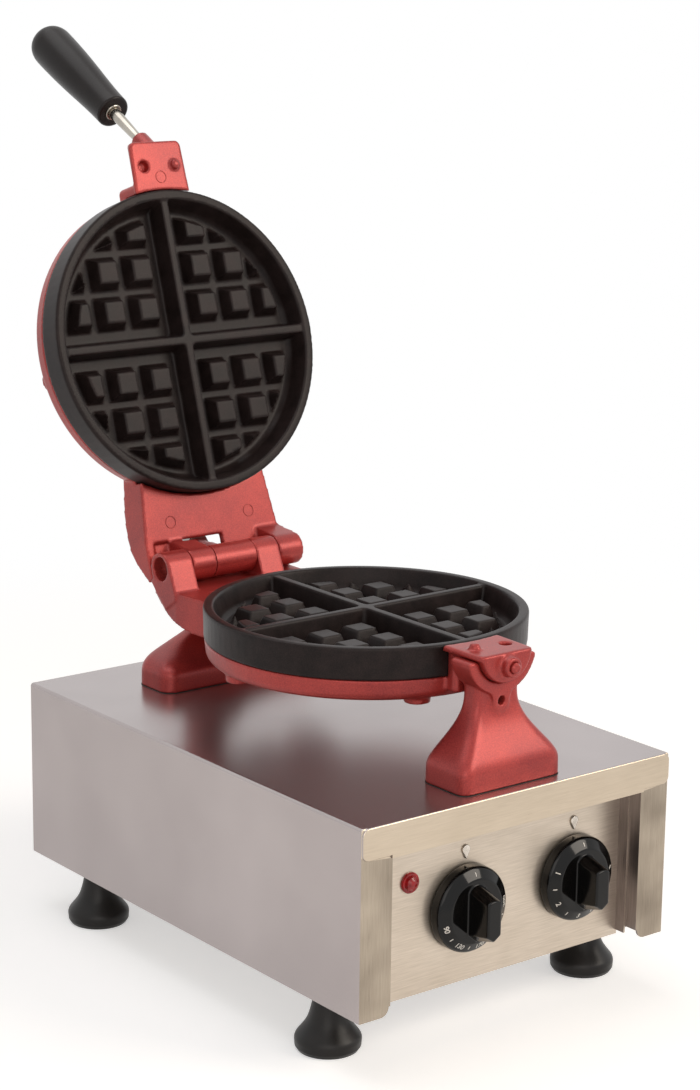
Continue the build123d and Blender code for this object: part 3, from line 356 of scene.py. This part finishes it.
# Non-stick coating on cast plates: near black, warm and faintly mottled, with a soft sheen
NON_STICK = Coat(
    "non_stick_coating", "2F2524", "191312", roughness=0.38, patch_mm=12, grain_mm=0.7,
    grain_depth_mm=0.05, tone_grain=0.5, specular=0.16,
)
# Moulded phenolic knobs: deep black and glossy
KNOB_BLACK = Coat(
    "gloss_black_knob", "0B0A09", "050404", roughness=0.1, patch_mm=20, grain_mm=1.2,
    grain_depth_mm=0.004, gloss_spread=0.03, specular=0.28,
)
# Grip and feet: moulded black, one satin and one rubbery
GRIP_BLACK = Coat(
    "satin_black_grip", "201A19", "171211", roughness=0.34, patch_mm=25, grain_mm=0.9,
    grain_depth_mm=0.012, gloss_spread=0.05, specular=0.22,
)
FOOT_RUBBER = Coat(
    "foot_rubber", "1C1816", "12100F", roughness=0.4, patch_mm=15, grain_mm=0.8,
    grain_depth_mm=0.02, specular=0.3,
)
# Moulded housings of the switches and the cord's gland: dull black
HOUSING_BLACK = Coat("black_housing", "232120", "191817", roughness=0.5, patch_mm=15, grain_mm=0.8)
# Turned or drawn steel: bright, hardly any grain
BRIGHT_STEEL = Coat(
    "bright_steel_rod", "B9B3A9", "948E85", roughness=0.2, metallic=1.0, patch_mm=20,
    grain_mm=0.4, grain_depth_mm=0.004, gloss_spread=0.05,
)
# Zinc-plated screws and nuts: greyer and duller, with a fine crystal grain
ZINC_STEEL = Coat(
    "zinc_plated_steel", "B4B0AB", "98948F", roughness=0.34, metallic=0.95, patch_mm=8,
    grain_mm=0.5,
)
# Sheath of the heaters: steel stained brown by its own heat
HEATER_SHEATH = Coat(
    "heat_stained_sheath", "6E665F", "4A4440", roughness=0.45, metallic=0.9, patch_mm=9,
    grain_mm=0.5,
)
# Satin stainless cover: its brush lines are so fine that they only blur what it mirrors
COVER_STEEL = BrushedSheet(
    "satin_cover_sheet", "B7AEAD", "A79E9D", Along.Y, roughness=0.24, line_mm=0.5, cloud_mm=90,
    cloud_share=0.7, gloss_spread=0.03, groove_mm=0.004,
)
# The panel is brushed across, coarse enough to see; its bright warm tone is painted light, the
# warmth of the lamps on it
PANEL_STEEL_PAINTED_LIGHT = BrushedSheet(
    "brushed_panel_painted_light", "D9CCBD", "BBAE9E", Along.X, roughness=0.36, line_mm=0.8, cloud_mm=50,
    cloud_share=0.35, groove_mm=0.006,
)
# The cover's front edge has its own cross brushing; its brighter warm tone, like the panel's, is
# painted light from the lamps in front
LIP_STEEL_PAINTED_LIGHT = BrushedSheet(
    "brushed_lip_painted_light", "D2C3AF", "BFB09C", Along.X, roughness=0.3, line_mm=0.6, cloud_mm=60,
)
# The flanges beside the panel: their darker tone is painted reflection, standing in for the darker
# things they mirror than the lip above them
FLANGE_STEEL_PAINTED_REFLECTION = BrushedSheet(
    "brushed_flange_painted_reflection", "BEB1A0", "7F7467", Along.Z, roughness=0.3, line_mm=0.6, cloud_mm=45,
    cloud_share=0.75,
)
# The flanges' folded sides look into the recess: their dull dark tone is painted shade, as dark as
# the recess's shade makes them look
FOLD_STEEL_PAINTED_SHADE = BrushedSheet(
    "folded_edge_painted_shade", "9A918F", "746B6A", Along.Z, roughness=0.3, line_mm=0.8, cloud_mm=40,
)
# Pressed marks: their bright, whiter tone is painted highlight, the light that the raised drop
# catches
MARK_STEEL_PAINTED_HIGHLIGHT = Coat(
    "pressed_mark_painted_highlight", "DDD5CB", "B3ABA1", roughness=0.24, metallic=0.9, patch_mm=6,
    grain_mm=0.6, grain_depth_mm=0.005,
)
# The tray and the rear sheet: the same steel, left as it came from the mill
PLAIN_STEEL = BrushedSheet("plain_sheet", "B5B0AC", "A19C98", Along.X)
# The lamp's lens: clear red; the brighter middle of each facet is a painted glint
LAMP_RED = ClearLens("red_lamp_lens_painted_glint", "C2262A", "8A1216")
# Screen-printed dial figures: plain matt white
WHITE_PRINT = Coat("white_dial_print", "E9E6E0", "DDD9D2", roughness=0.5, grain_depth_mm=0.0)
# Black sealant squeezed out under the pedestals: dull, with an uneven edge
SEALANT = Coat(
    "black_sealant", "2B2624", "171413", roughness=0.6, patch_mm=4, grain_mm=0.8,
    grain_depth_mm=0.1,
)

CAD_FINISHES: dict[str, Coat | BrushedSheet | ClearLens] = {
    "casing_steel": COVER_STEEL, "tray_steel": PLAIN_STEEL, "rear_steel": PLAIN_STEEL,
    "panel_steel": PANEL_STEEL_PAINTED_LIGHT, "red_paint": RED_PAINT, "nonstick": NON_STICK,
    "heater_sheath": HEATER_SHEATH, "handle_black": GRIP_BLACK, "bright_steel": BRIGHT_STEEL,
    "bright_chrome": BRIGHT_STEEL, "knob_black": KNOB_BLACK, "lamp_red": LAMP_RED,
    "housing_black": HOUSING_BLACK, "foot_rubber": FOOT_RUBBER, "fastener_steel": ZINC_STEEL,
}


class Paintbox:
    """Makes each finish once and hands it out."""

    def __init__(self) -> None:
        """Start with no material made."""
        self.made: dict[str, bpy.types.Material] = {}

    def get(self, finish: Coat | BrushedSheet | ClearLens) -> bpy.types.Material:
        """Return the finish's material, made at its first use.

        Args:
            finish: the finish to look up.

        Returns:
            Its material.
        """
        if finish.name not in self.made:
            self.made[finish.name] = finish.build()
        return self.made[finish.name]

    def dress(self, piece: bpy.types.Object, finish: Coat | BrushedSheet | ClearLens) -> None:
        """Give a piece one finish in all its slots.

        Args:
            piece: the mesh object.
            finish: the finish that it gets.
        """
        piece.data.materials.clear()
        piece.data.materials.append(self.get(finish))


PAINTBOX = Paintbox()


def only(piece: bpy.types.Object) -> None:
    """Deselect everything, then select one piece and make it active.

    Args:
        piece: the object to work on.
    """
    bpy.ops.object.select_all(action="DESELECT")
    piece.select_set(True)
    bpy.context.view_layer.objects.active = piece


def settle(piece: bpy.types.Object, name: str, body: str) -> None:
    """Name a finished piece, apply its place to its mesh and let it ride on a body.

    Args:
        piece: the finished mesh object.
        name: the name it keeps.
        body: the CAD body it moves with.
    """
    only(piece)
    bpy.ops.object.transform_apply(location=True, rotation=True, scale=True)
    piece.name = name
    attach(piece, body)
    log.info("%s: %d faces on %s", name, len(piece.data.polygons), body)


def dress_frame() -> None:
    """Give every CAD node the finish of its material slot."""
    for row in frame["record"]["subparts"]:
        PAINTBOX.dress(NODES[row["node"]], CAD_FINISHES[row["material_slot"]])


@dataclass
class SheetEdgesPaintedLight:
    """The cover's lip, its flanges and the folds in the recess, each a lit or shaded copy of one
    sheet: painted light on the lip, painted reflection on the flanges, painted shade on the folds.
    """

    front_reach: float = 3.0
    fold_reach: float = 16.0
    side_margin: float = 5.0
    facing_front: float = 0.6
    facing_side: float = 0.9

    def cover_slot(self, centre: Vector, normal: Vector) -> int:
        """Material slot of a face of the cover.

        Args:
            centre: the face's middle in millimetres.
            normal: the way it faces.

        Returns:
            0 for the cover's own sheet, 1 for the lip's painted light, 2 for a flange's painted
            reflection and 3 for a fold's painted shade.
        """
        if normal.y < -self.facing_front and centre.y < FRONT_Y + self.front_reach:
            return 1 if centre.z > LIP_FOOT else 2
        near_front = centre.y < FRONT_Y + self.fold_reach
        inside = near_front and abs(centre.x) < HALF_WIDTH - self.side_margin
        return 3 if inside and abs(normal.x) > self.facing_side else 0

    def dress(self) -> None:
        """Hand out the slots of painted light, reflection and shade on the cover, and of painted
        shade on the panel's folded sides.
        """
        cover = NODES["casing_cover"]
        for finish in (LIP_STEEL_PAINTED_LIGHT, FLANGE_STEEL_PAINTED_REFLECTION, FOLD_STEEL_PAINTED_SHADE):
            cover.data.materials.append(PAINTBOX.get(finish))
        turn = cover.matrix_world.to_3x3()
        for face in cover.data.polygons:
            centre = cover.matrix_world @ face.center / MM
            face.material_index = self.cover_slot(centre, (turn @ face.normal).normalized())
        # The panel's sideways faces get the folds' painted shade
        panel = NODES["front_panel"]
        panel.data.materials.append(PAINTBOX.get(FOLD_STEEL_PAINTED_SHADE))
        turn = panel.matrix_world.to_3x3()
        for face in panel.data.polygons:
            if abs((turn @ face.normal).normalized().x) > self.facing_side:
                face.material_index = 1


@dataclass
class CastPiece:
    """A cast or moulded CAD node redrawn with the soft edges that its mould and its coat leave.

    The solid has sharp edges. Its copy is cut into fine even cells and smoothed, which rounds every
    edge by about a cell and leaves flat faces flat. Between the two heights of rounded_z, in
    millimetres, it is rounded much more, and blend_mm is how fast that sets in.
    """

    node: str
    body: str
    finish: Coat
    slot: str
    cell_mm: float = 1.0
    passes: int = 4
    most_faces: int = 170000
    rounded_z: tuple[float, float] | None = None
    rounding_passes: int = 30
    blend_mm: float = 6.0
    merge_mm: float = 0.005

    def build(self) -> None:
        """Make the softened piece and put it in the node's place."""
        source = NODES[self.node]
        name = f"soft_{self.node}"
        piece = bpy.data.objects.new(name, source.data.copy())
        piece.matrix_world = source.matrix_world
        bpy.context.scene.collection.objects.link(piece)
        only(piece)
        bpy.ops.object.mode_set(mode="EDIT")
        bpy.ops.mesh.select_all(action="SELECT")
        bpy.ops.mesh.remove_doubles(threshold=self.merge_mm * MM)
        bpy.ops.object.mode_set(mode="OBJECT")
        cells = piece.modifiers.new("cells", "REMESH")
        cells.mode = "VOXEL"
        cells.voxel_size = self.cell_mm * MM
        bpy.ops.object.modifier_apply(modifier=cells.name)
        self.relax(piece, self.passes)
        if self.rounded_z:
            self.round_body(piece)
        thin = piece.modifiers.new("thin", "DECIMATE")
        thin.ratio = min(1.0, self.most_faces / (2 * len(piece.data.polygons)))
        bpy.ops.object.modifier_apply(modifier=thin.name)
        bpy.ops.object.shade_smooth()
        PAINTBOX.dress(piece, self.finish)
        settle(piece, name, self.body)
        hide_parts(self.node)

    def relax(self, piece: bpy.types.Object, passes: int, group: str = "") -> None:
        """Smooth the copy.

        Args:
            piece: the copy, already cut into even cells.
            passes: how often each point moves half way to its neighbours' middle.
            group: the vertex group that it keeps to, or nothing for the whole piece.
        """
        smooth = piece.modifiers.new("smooth", "SMOOTH")
        smooth.factor = 0.5
        smooth.iterations = passes
        smooth.vertex_group = group
        bpy.ops.object.modifier_apply(modifier=smooth.name)

    def round_body(self, piece: bpy.types.Object) -> None:
        """Round the part of the piece between two heights much more than the rest.

        Args:
            piece: the copy, already cut into even cells.
        """
        low, high = self.rounded_z
        group = piece.vertex_groups.new(name="body")
        for vertex in piece.data.vertices:
            height = (piece.matrix_world @ vertex.co).z / MM
            share = min(height - low, high - height) / self.blend_mm
            if share > 0:
                group.add([vertex.index], min(share, 1.0), "REPLACE")
        self.relax(piece, self.rounding_passes, group.name)
        piece.vertex_groups.clear()


@dataclass(frozen=True)
class CastingFrame:
    """Where a casting's own frame lies: y runs to the hinge, z away from the waffle."""

    body: str
    origin: tuple[float, float, float]
    x_dir: tuple[float, float, float]
    z_dir: tuple[float, float, float]

    def seat(self, x: float, y: float, z: float) -> Matrix:
        """Place at a point of the casting, turned so that its outer side looks towards the waffle.

        Args:
            x: millimetres across the casting.
            y: millimetres from the pan's centre towards the hinge.
            z: millimetres from the parting plane.

        Returns:
            A matrix in metres with its z axis pointing to the waffle.
        """
        across = Vector(self.x_dir)
        away = Vector(self.z_dir)
        along = away.cross(across)
        place = Vector(self.origin) + across * x + along * y + away * z
        turn = Matrix((across, -along, -away)).transposed().to_4x4()
        return Matrix.Translation(place * MM) @ turn


# Ejector marks in a casting's own frame: on both sides of its arm and on its lug
ARM_MARK_X = 33.0
ARM_MARK_Y = 123.0
ARM_FACE_Z = 13.55
LUG_MARK_Y = -114.7
LUG_FACE_Z = 0.25
# The lid stands open by this angle at rest, turned about the hinge
LID_TILT = math.radians(107.6)
LOWER_CASTING = CastingFrame("base", (0.0, PLATE_Y, PARTING_Z), (-1.0, 0.0, 0.0), (0.0, 0.0, -1.0))
UPPER_CASTING = CastingFrame(
    "lid",
    (0.0, HINGE_Y - HINGE_REACH * math.cos(LID_TILT), PARTING_Z + HINGE_REACH * math.sin(LID_TILT)),
    (1.0, 0.0, 0.0), (0.0, math.sin(LID_TILT), math.cos(LID_TILT)),
)


@dataclass
class EjectorMark:
    """The fine round line that an ejector pin leaves on a casting's face."""

    name: str
    casting: CastingFrame
    place: tuple[float, float, float]
    radius: float = 4.1
    width: float = 0.5
    height: float = 0.22

    def build(self) -> None:
        """Draw the ring, give it its height and shade it smooth."""
        bpy.ops.object.select_all(action="DESELECT")
        bpy.ops.mesh.primitive_circle_add(vertices=40, radius=(self.radius - self.width / 2) * MM)
        ring = bpy.context.object
        bpy.ops.object.mode_set(mode="EDIT")
        bpy.ops.mesh.select_all(action="SELECT")
        bpy.ops.mesh.extrude_region()
        grow = (self.radius + self.width / 2) / (self.radius - self.width / 2)
        bpy.ops.transform.resize(value=(grow, grow, 1.0))
        bpy.ops.mesh.select_all(action="SELECT")
        bpy.ops.mesh.extrude_region_move(TRANSFORM_OT_translate={"value": (0, 0, self.height * MM)})
        bpy.ops.mesh.select_all(action="SELECT")
        bpy.ops.mesh.normals_make_consistent(inside=False)
        bpy.ops.object.mode_set(mode="OBJECT")
        bpy.ops.object.shade_smooth()
        ring.matrix_world = self.casting.seat(*self.place)
        PAINTBOX.dress(ring, RED_PAINT)
        settle(ring, self.name, self.casting.body)


@dataclass
class SealantBead:
    """The thin dark line of sealant that shows round a pedestal's base."""

    name: str
    half_width: float
    front: float
    back: float
    corner: float
    margin: float = 0.2
    height: float = 0.28
    lift: float = 0.02

    def build(self) -> None:
        """Draw the base's outline a little larger and give it its height."""
        bpy.ops.object.select_all(action="DESELECT")
        middle = (self.front + self.back) / 2
        width = 2 * (self.half_width + self.margin)
        depth = self.back - self.front + 2 * self.margin
        bpy.ops.mesh.primitive_plane_add(
            size=1.0, location=(0, middle * MM, (CASE_TOP + self.lift) * MM),
        )
        bead = bpy.context.object
        bead.scale = (width * MM, depth * MM, 1.0)
        bpy.ops.object.transform_apply(location=True, rotation=True, scale=True)
        bpy.ops.object.mode_set(mode="EDIT")
        bpy.ops.mesh.select_all(action="SELECT")
        bpy.ops.mesh.bevel(offset=(self.corner + self.margin) * MM, segments=10, affect="VERTICES")
        bpy.ops.mesh.select_all(action="SELECT")
        bpy.ops.mesh.extrude_region_move(TRANSFORM_OT_translate={"value": (0, 0, self.height * MM)})
        bpy.ops.mesh.select_all(action="SELECT")
        bpy.ops.mesh.normals_make_consistent(inside=False)
        bpy.ops.object.mode_set(mode="OBJECT")
        PAINTBOX.dress(bead, SEALANT)
        settle(bead, self.name, "base")


@dataclass
class PanelMark:
    """A pressed drop on the panel that points down at a knob.

    It covers the plain drop of the CAD panel with a rounded one.
    """

    name: str
    centre_x: float
    radius: float = 3.1
    tip: float = 6.0
    height: float = 1.3
    narrowing: float = 0.35
    edge: float = 0.9
    edge_angle: float = math.radians(60)

    def build(self) -> None:
        """Pull a disc's lowest point down to the tip, raise it and round its edge."""
        bpy.ops.object.select_all(action="DESELECT")
        bpy.ops.mesh.primitive_circle_add(vertices=36, radius=self.radius * MM, fill_type="NGON")
        drop = bpy.context.object
        reach = self.tip - self.radius
        for vertex in drop.data.vertices:
            depth = -vertex.co.y / (self.radius * MM)
            if depth > 0:
                vertex.co.x *= 1 - self.narrowing * depth ** 2
                vertex.co.y -= reach * MM * depth ** 3
        bpy.ops.object.mode_set(mode="EDIT")
        bpy.ops.mesh.select_all(action="SELECT")
        bpy.ops.mesh.extrude_region_move(TRANSFORM_OT_translate={"value": (0, 0, self.height * MM)})
        bpy.ops.mesh.select_all(action="SELECT")
        bpy.ops.mesh.normals_make_consistent(inside=False)
        bpy.ops.object.mode_set(mode="OBJECT")
        edge = drop.modifiers.new("edge", "BEVEL")
        edge.width = self.edge * MM
        edge.segments = 4
        edge.limit_method = "ANGLE"
        edge.angle_limit = self.edge_angle
        bpy.ops.object.modifier_apply(modifier=edge.name)
        bpy.ops.object.shade_smooth()
        drop.rotation_euler = (math.radians(90), 0, 0)
        drop.location = (self.centre_x * MM, PANEL_Y * MM, MARK_Z * MM)
        # The drop's bright tone is painted highlight
        PAINTBOX.dress(drop, MARK_STEEL_PAINTED_HIGHLIGHT)
        settle(drop, self.name, "base")


@dataclass
class Studio:
    """A pale floor, soft light from three sides and the camera of the photograph."""

    eye_mm: tuple[float, float, float] = (-1019.0, FRONT_Y - 1123.5, 675.4)
    right: tuple[float, float, float] = (0.78844, -0.61499, 0.01244)
    forward: tuple[float, float, float] = (0.60036, 0.76496, -0.23325)
    lens_mm: float = 86.22
    aim_m: tuple[float, float, float] = (0.0, 0.0, 0.25)
    floor_m: float = 12.0
    shadow_m: tuple[float, float] = (0.55, 1.1)
    floor_glow: float = 0.45
    sky_light: float = 0.28

    @staticmethod
    def seen_or_mirrored(tree: bpy.types.NodeTree) -> bpy.types.NodeSocket:
        """Tell the rays that show a surface from those that light one.

        Args:
            tree: the node tree that takes the nodes.

        Returns:
            An output that is 1 for camera, glossy and transmission rays, and 0 for others.
        """
        path = add_node(tree, "ShaderNodeLightPath")
        mirrored = add_node(
            tree, "ShaderNodeMath", None,
            {0: path.outputs["Is Glossy Ray"], 1: path.outputs["Is Transmission Ray"]},
            operation="MAXIMUM",
        )
        seen = add_node(
            tree, "ShaderNodeMath", None,
            {0: path.outputs["Is Camera Ray"], 1: mirrored.outputs[0]}, operation="MAXIMUM",
        )
        return seen.outputs[0]

    def camera(self) -> None:
        """Place the camera at the photograph's viewpoint."""
        data = bpy.data.cameras.new("camera")
        data.lens = self.lens_mm
        data.sensor_width = 36.0
        data.clip_start = 0.05
        camera = bpy.data.objects.new("camera", data)
        bpy.context.scene.collection.objects.link(camera)
        forward = Vector(self.forward).normalized()
        right = (Vector(self.right) - forward * forward.dot(Vector(self.right))).normalized()
        up = right.cross(forward)
        turn = Matrix((right, up, -forward)).transposed().to_4x4()
        camera.matrix_world = Matrix.Translation(Vector(self.eye_mm) * MM) @ turn
        bpy.context.scene.camera = camera

    def light(
        self,
        name: str,
        place: tuple[float, float, float],
        size: float,
        power: float,
        colour: str = "FFFFFF",
    ) -> None:
        """Add one large soft lamp aimed at the middle of the object.

        Args:
            name: the lamp's name.
            place: where it hangs, in metres.
            size: side of its square, in metres.
            power: its power in watts.
            colour: its sRGB hex colour.
        """
        data = bpy.data.lights.new(name, "AREA")
        data.size = size
        data.energy = power
        data.color = linear(colour)[:3]
        lamp = bpy.data.objects.new(name, data)
        bpy.context.scene.collection.objects.link(lamp)
        lamp.location = place
        aim = Vector(self.aim_m) - Vector(place)
        lamp.rotation_euler = aim.to_track_quat("-Z", "Y").to_euler()

    def world(self) -> None:
        """Even pale surroundings: white to the camera and in reflections, softer as light."""
        world = bpy.data.worlds.new("studio")
        bpy.context.scene.world = world
        world.use_nodes = True
        tree = world.node_tree
        tree.nodes.clear()
        soft = add_node(
            tree, "ShaderNodeBackground", {"Color": linear("F2F0EE"), "Strength": self.sky_light},
        )
        white = add_node(tree, "ShaderNodeBackground", {"Color": (1, 1, 1, 1), "Strength": 1.0})
        mix = add_node(
            tree, "ShaderNodeMixShader", None,
            {0: self.seen_or_mirrored(tree), 1: soft.outputs[0], 2: white.outputs[0]},
        )
        add_node(tree, "ShaderNodeOutputWorld", None, {"Surface": mix.outputs[0]})

    def floor(self) -> None:
        """A matt white floor that keeps the object's soft shadow."""
        bpy.ops.object.select_all(action="DESELECT")
        bpy.ops.mesh.primitive_circle_add(vertices=96, radius=self.floor_m, fill_type="NGON")
        floor = bpy.context.object
        floor.name = "floor"
        material, tree = blank_material("white_floor")
        place = add_node(tree, "ShaderNodeTexCoord")
        distance = add_node(
            tree, "ShaderNodeVectorMath", None, {0: place.outputs["Object"]}, operation="LENGTH",
        )
        far = add_node(
            tree, "ShaderNodeMapRange",
            {"From Min": self.shadow_m[0], "From Max": self.shadow_m[1]},
            {"Value": distance.outputs["Value"]}, interpolation_type="SMOOTHSTEP",
        )
        matt = add_node(tree, "ShaderNodeBsdfDiffuse", {"Color": linear("F4F3F2")})
        glow = add_node(
            tree, "ShaderNodeEmission", {"Color": (1, 1, 1, 1), "Strength": self.floor_glow},
        )
        near = add_node(tree, "ShaderNodeAddShader", None, {0: matt.outputs[0], 1: glow.outputs[0]})
        white = add_node(tree, "ShaderNodeEmission", {"Color": (1, 1, 1, 1), "Strength": 1.0})
        shown = add_node(
            tree, "ShaderNodeMixShader", None,
            {0: far.outputs[0], 1: near.outputs[0], 2: white.outputs[0]},
        )
        mix = add_node(
            tree, "ShaderNodeMixShader", None,
            {0: self.seen_or_mirrored(tree), 1: matt.outputs[0], 2: shown.outputs[0]},
        )
        add_node(tree, "ShaderNodeOutputMaterial", None, {"Surface": mix.outputs[0]})
        floor.data.materials.append(material)

    def build(self) -> None:
        """Set up the whole studio."""
        bpy.context.scene.view_settings.view_transform = "Standard"
        self.camera()
        self.world()
        self.floor()
        self.light("key", (1.6, -2.4, 2.0), size=1.6, power=48.0, colour="FFF4E6")
        self.light("fill", (-1.7, -2.3, 1.3), size=2.0, power=15.0, colour="FFF6EE")
        self.light("top", (-0.3, 0.6, 2.8), size=2.0, power=20.0)


@dataclass
class DialMark:
    """One printed mark of a dial: a number, or a tick where the text is empty."""

    angle: float
    text: str = ""


@dataclass
class Dial:
    """White print on the sloping face of a knob.

    The sloping face runs from the skirt's rim back to the foot of the grip bar.
    """

    name: str
    body: str
    centre_x: float
    marks: tuple[DialMark, ...]
    ring_radius: float = 23.6
    face_y: float = 9.22
    slope: float = math.atan2(3.5, 6.1)
    letter_mm: float = 4.86
    bold_mm: float = 0.12
    tick_mm: tuple[float, float] = (0.7, 2.6)
    lift_mm: float = 0.1

    def seat(self, mark: DialMark) -> Matrix:
        """Place on the dial's face where a mark lies, its top towards the knob's axis.

        Args:
            mark: the number or tick.

        Returns:
            A matrix in metres whose z axis points out of the face.
        """
        turn = math.radians(mark.angle)
        outward = Vector((-math.sin(turn), 0, math.cos(turn)))
        normal = Vector((0, -math.cos(self.slope), 0)) + outward * math.sin(self.slope)
        up = -outward * math.cos(self.slope) + Vector((0, -1, 0)) * math.sin(self.slope)
        up.normalize()
        right = up.cross(normal)
        centre = Vector((self.centre_x, KNOB_Y, CONTROL_Z)) + outward * self.ring_radius
        centre += Vector((0, -self.face_y, 0)) + normal * self.lift_mm
        return Matrix.Translation(centre * MM) @ Matrix((right, up, normal)).transposed().to_4x4()

    def build(self) -> None:
        """Print the numbers and ticks and join them to one piece."""
        printed: list[bpy.types.Object] = []
        for mark in self.marks:
            bpy.ops.object.select_all(action="DESELECT")
            if mark.text:
                bpy.ops.object.text_add()
                piece = bpy.context.object
                piece.data.body = mark.text
                piece.data.size = self.letter_mm * MM
                piece.data.align_x = "CENTER"
                piece.data.align_y = "CENTER"
                piece.data.offset = self.bold_mm * MM
                only(piece)
                bpy.ops.object.convert(target="MESH")
                piece = bpy.context.object
            else:
                bpy.ops.mesh.primitive_plane_add(size=MM)
                piece = bpy.context.object
                piece.scale = (self.tick_mm[0], self.tick_mm[1], 1)
                bpy.ops.object.transform_apply(location=False, rotation=False, scale=True)
            piece.matrix_world = self.seat(mark)
            printed.append(piece)
        bpy.ops.object.select_all(action="DESELECT")
        for piece in printed:
            piece.select_set(True)
        bpy.context.view_layer.objects.active = printed[0]
        bpy.ops.object.join()
        dial = bpy.context.object
        PAINTBOX.dress(dial, WHITE_PRINT)
        settle(dial, self.name, self.body)


def marks(numbers: dict[float, str], ticks: tuple[float, ...]) -> tuple[DialMark, ...]:
    """Gather the marks of a dial.

    Args:
        numbers: the printed numbers by their angle in degrees.
        ticks: the angles of the ticks.

    Returns:
        One mark for each of them.
    """
    return tuple(DialMark(a, t) for a, t in numbers.items()) + tuple(DialMark(a) for a in ticks)


def main() -> None:
    """Dress the frame, add the pieces and set up the studio."""
    logging.basicConfig(level=logging.INFO)
    dress_frame()
    SheetEdgesPaintedLight().dress()
    Studio().build()
    halves = (("upper", "lid"), ("lower", "base"))
    for half, body in halves:
        CastPiece(f"{half}_casting", body, RED_PAINT, "red_paint").build()
    for node, body_top in (("front_pedestal", FRONT_BODY_TOP), ("rear_pedestal", REAR_BODY_TOP)):
        CastPiece(node, "base", RED_PAINT, "red_paint", rounded_z=(BODY_FOOT, body_top)).build()
    for half, body in halves:
        CastPiece(f"{half}_plate", body, NON_STICK, "nonstick", cell_mm=0.9, passes=3).build()
    for dial in ("thermostat", "timer"):
        CastPiece(
            f"{dial}_knob", f"{dial}_dial", KNOB_BLACK, "knob_black", cell_mm=0.4, passes=12,
        ).build()
    for name, casting in (("lower", LOWER_CASTING), ("upper", UPPER_CASTING)):
        for side, x in (("left", -ARM_MARK_X), ("right", ARM_MARK_X)):
            EjectorMark(f"{name}_arm_mark_{side}", casting, (x, ARM_MARK_Y, ARM_FACE_Z)).build()
    EjectorMark("upper_lug_mark", UPPER_CASTING, (0.0, LUG_MARK_Y, LUG_FACE_Z)).build()
    PanelMark("thermostat_mark", THERMOSTAT_X).build()
    PanelMark("timer_mark", TIMER_X).build()
    SealantBead(
        "front_sealant", half_width=40.5, front=FRONT_Y + 9.5, back=FRONT_Y + 50.0, corner=7.0,
    ).build()
    SealantBead(
        "rear_sealant", half_width=65.5, front=FRONT_Y + 291.0, back=FRONT_Y + 329.0, corner=10.0,
    ).build()
    Dial("thermostat_print", "thermostat_dial", THERMOSTAT_X, marks(
        {108.0: "90", 150.0: "130", 191.0: "170", 232.0: "230", 273.0: "300"},
        (0.0, 129.0, 170.0, 211.0, 252.0),
    )).build()
    Dial("timer_print", "timer_dial", TIMER_X, marks(
        {67.0: "1", 120.0: "2", 173.0: "3", 226.0: "4", 279.0: "5"},
        (0.0, 93.5, 146.5, 199.5, 252.5),
    )).build()


if __name__ == "__main__":
    main()
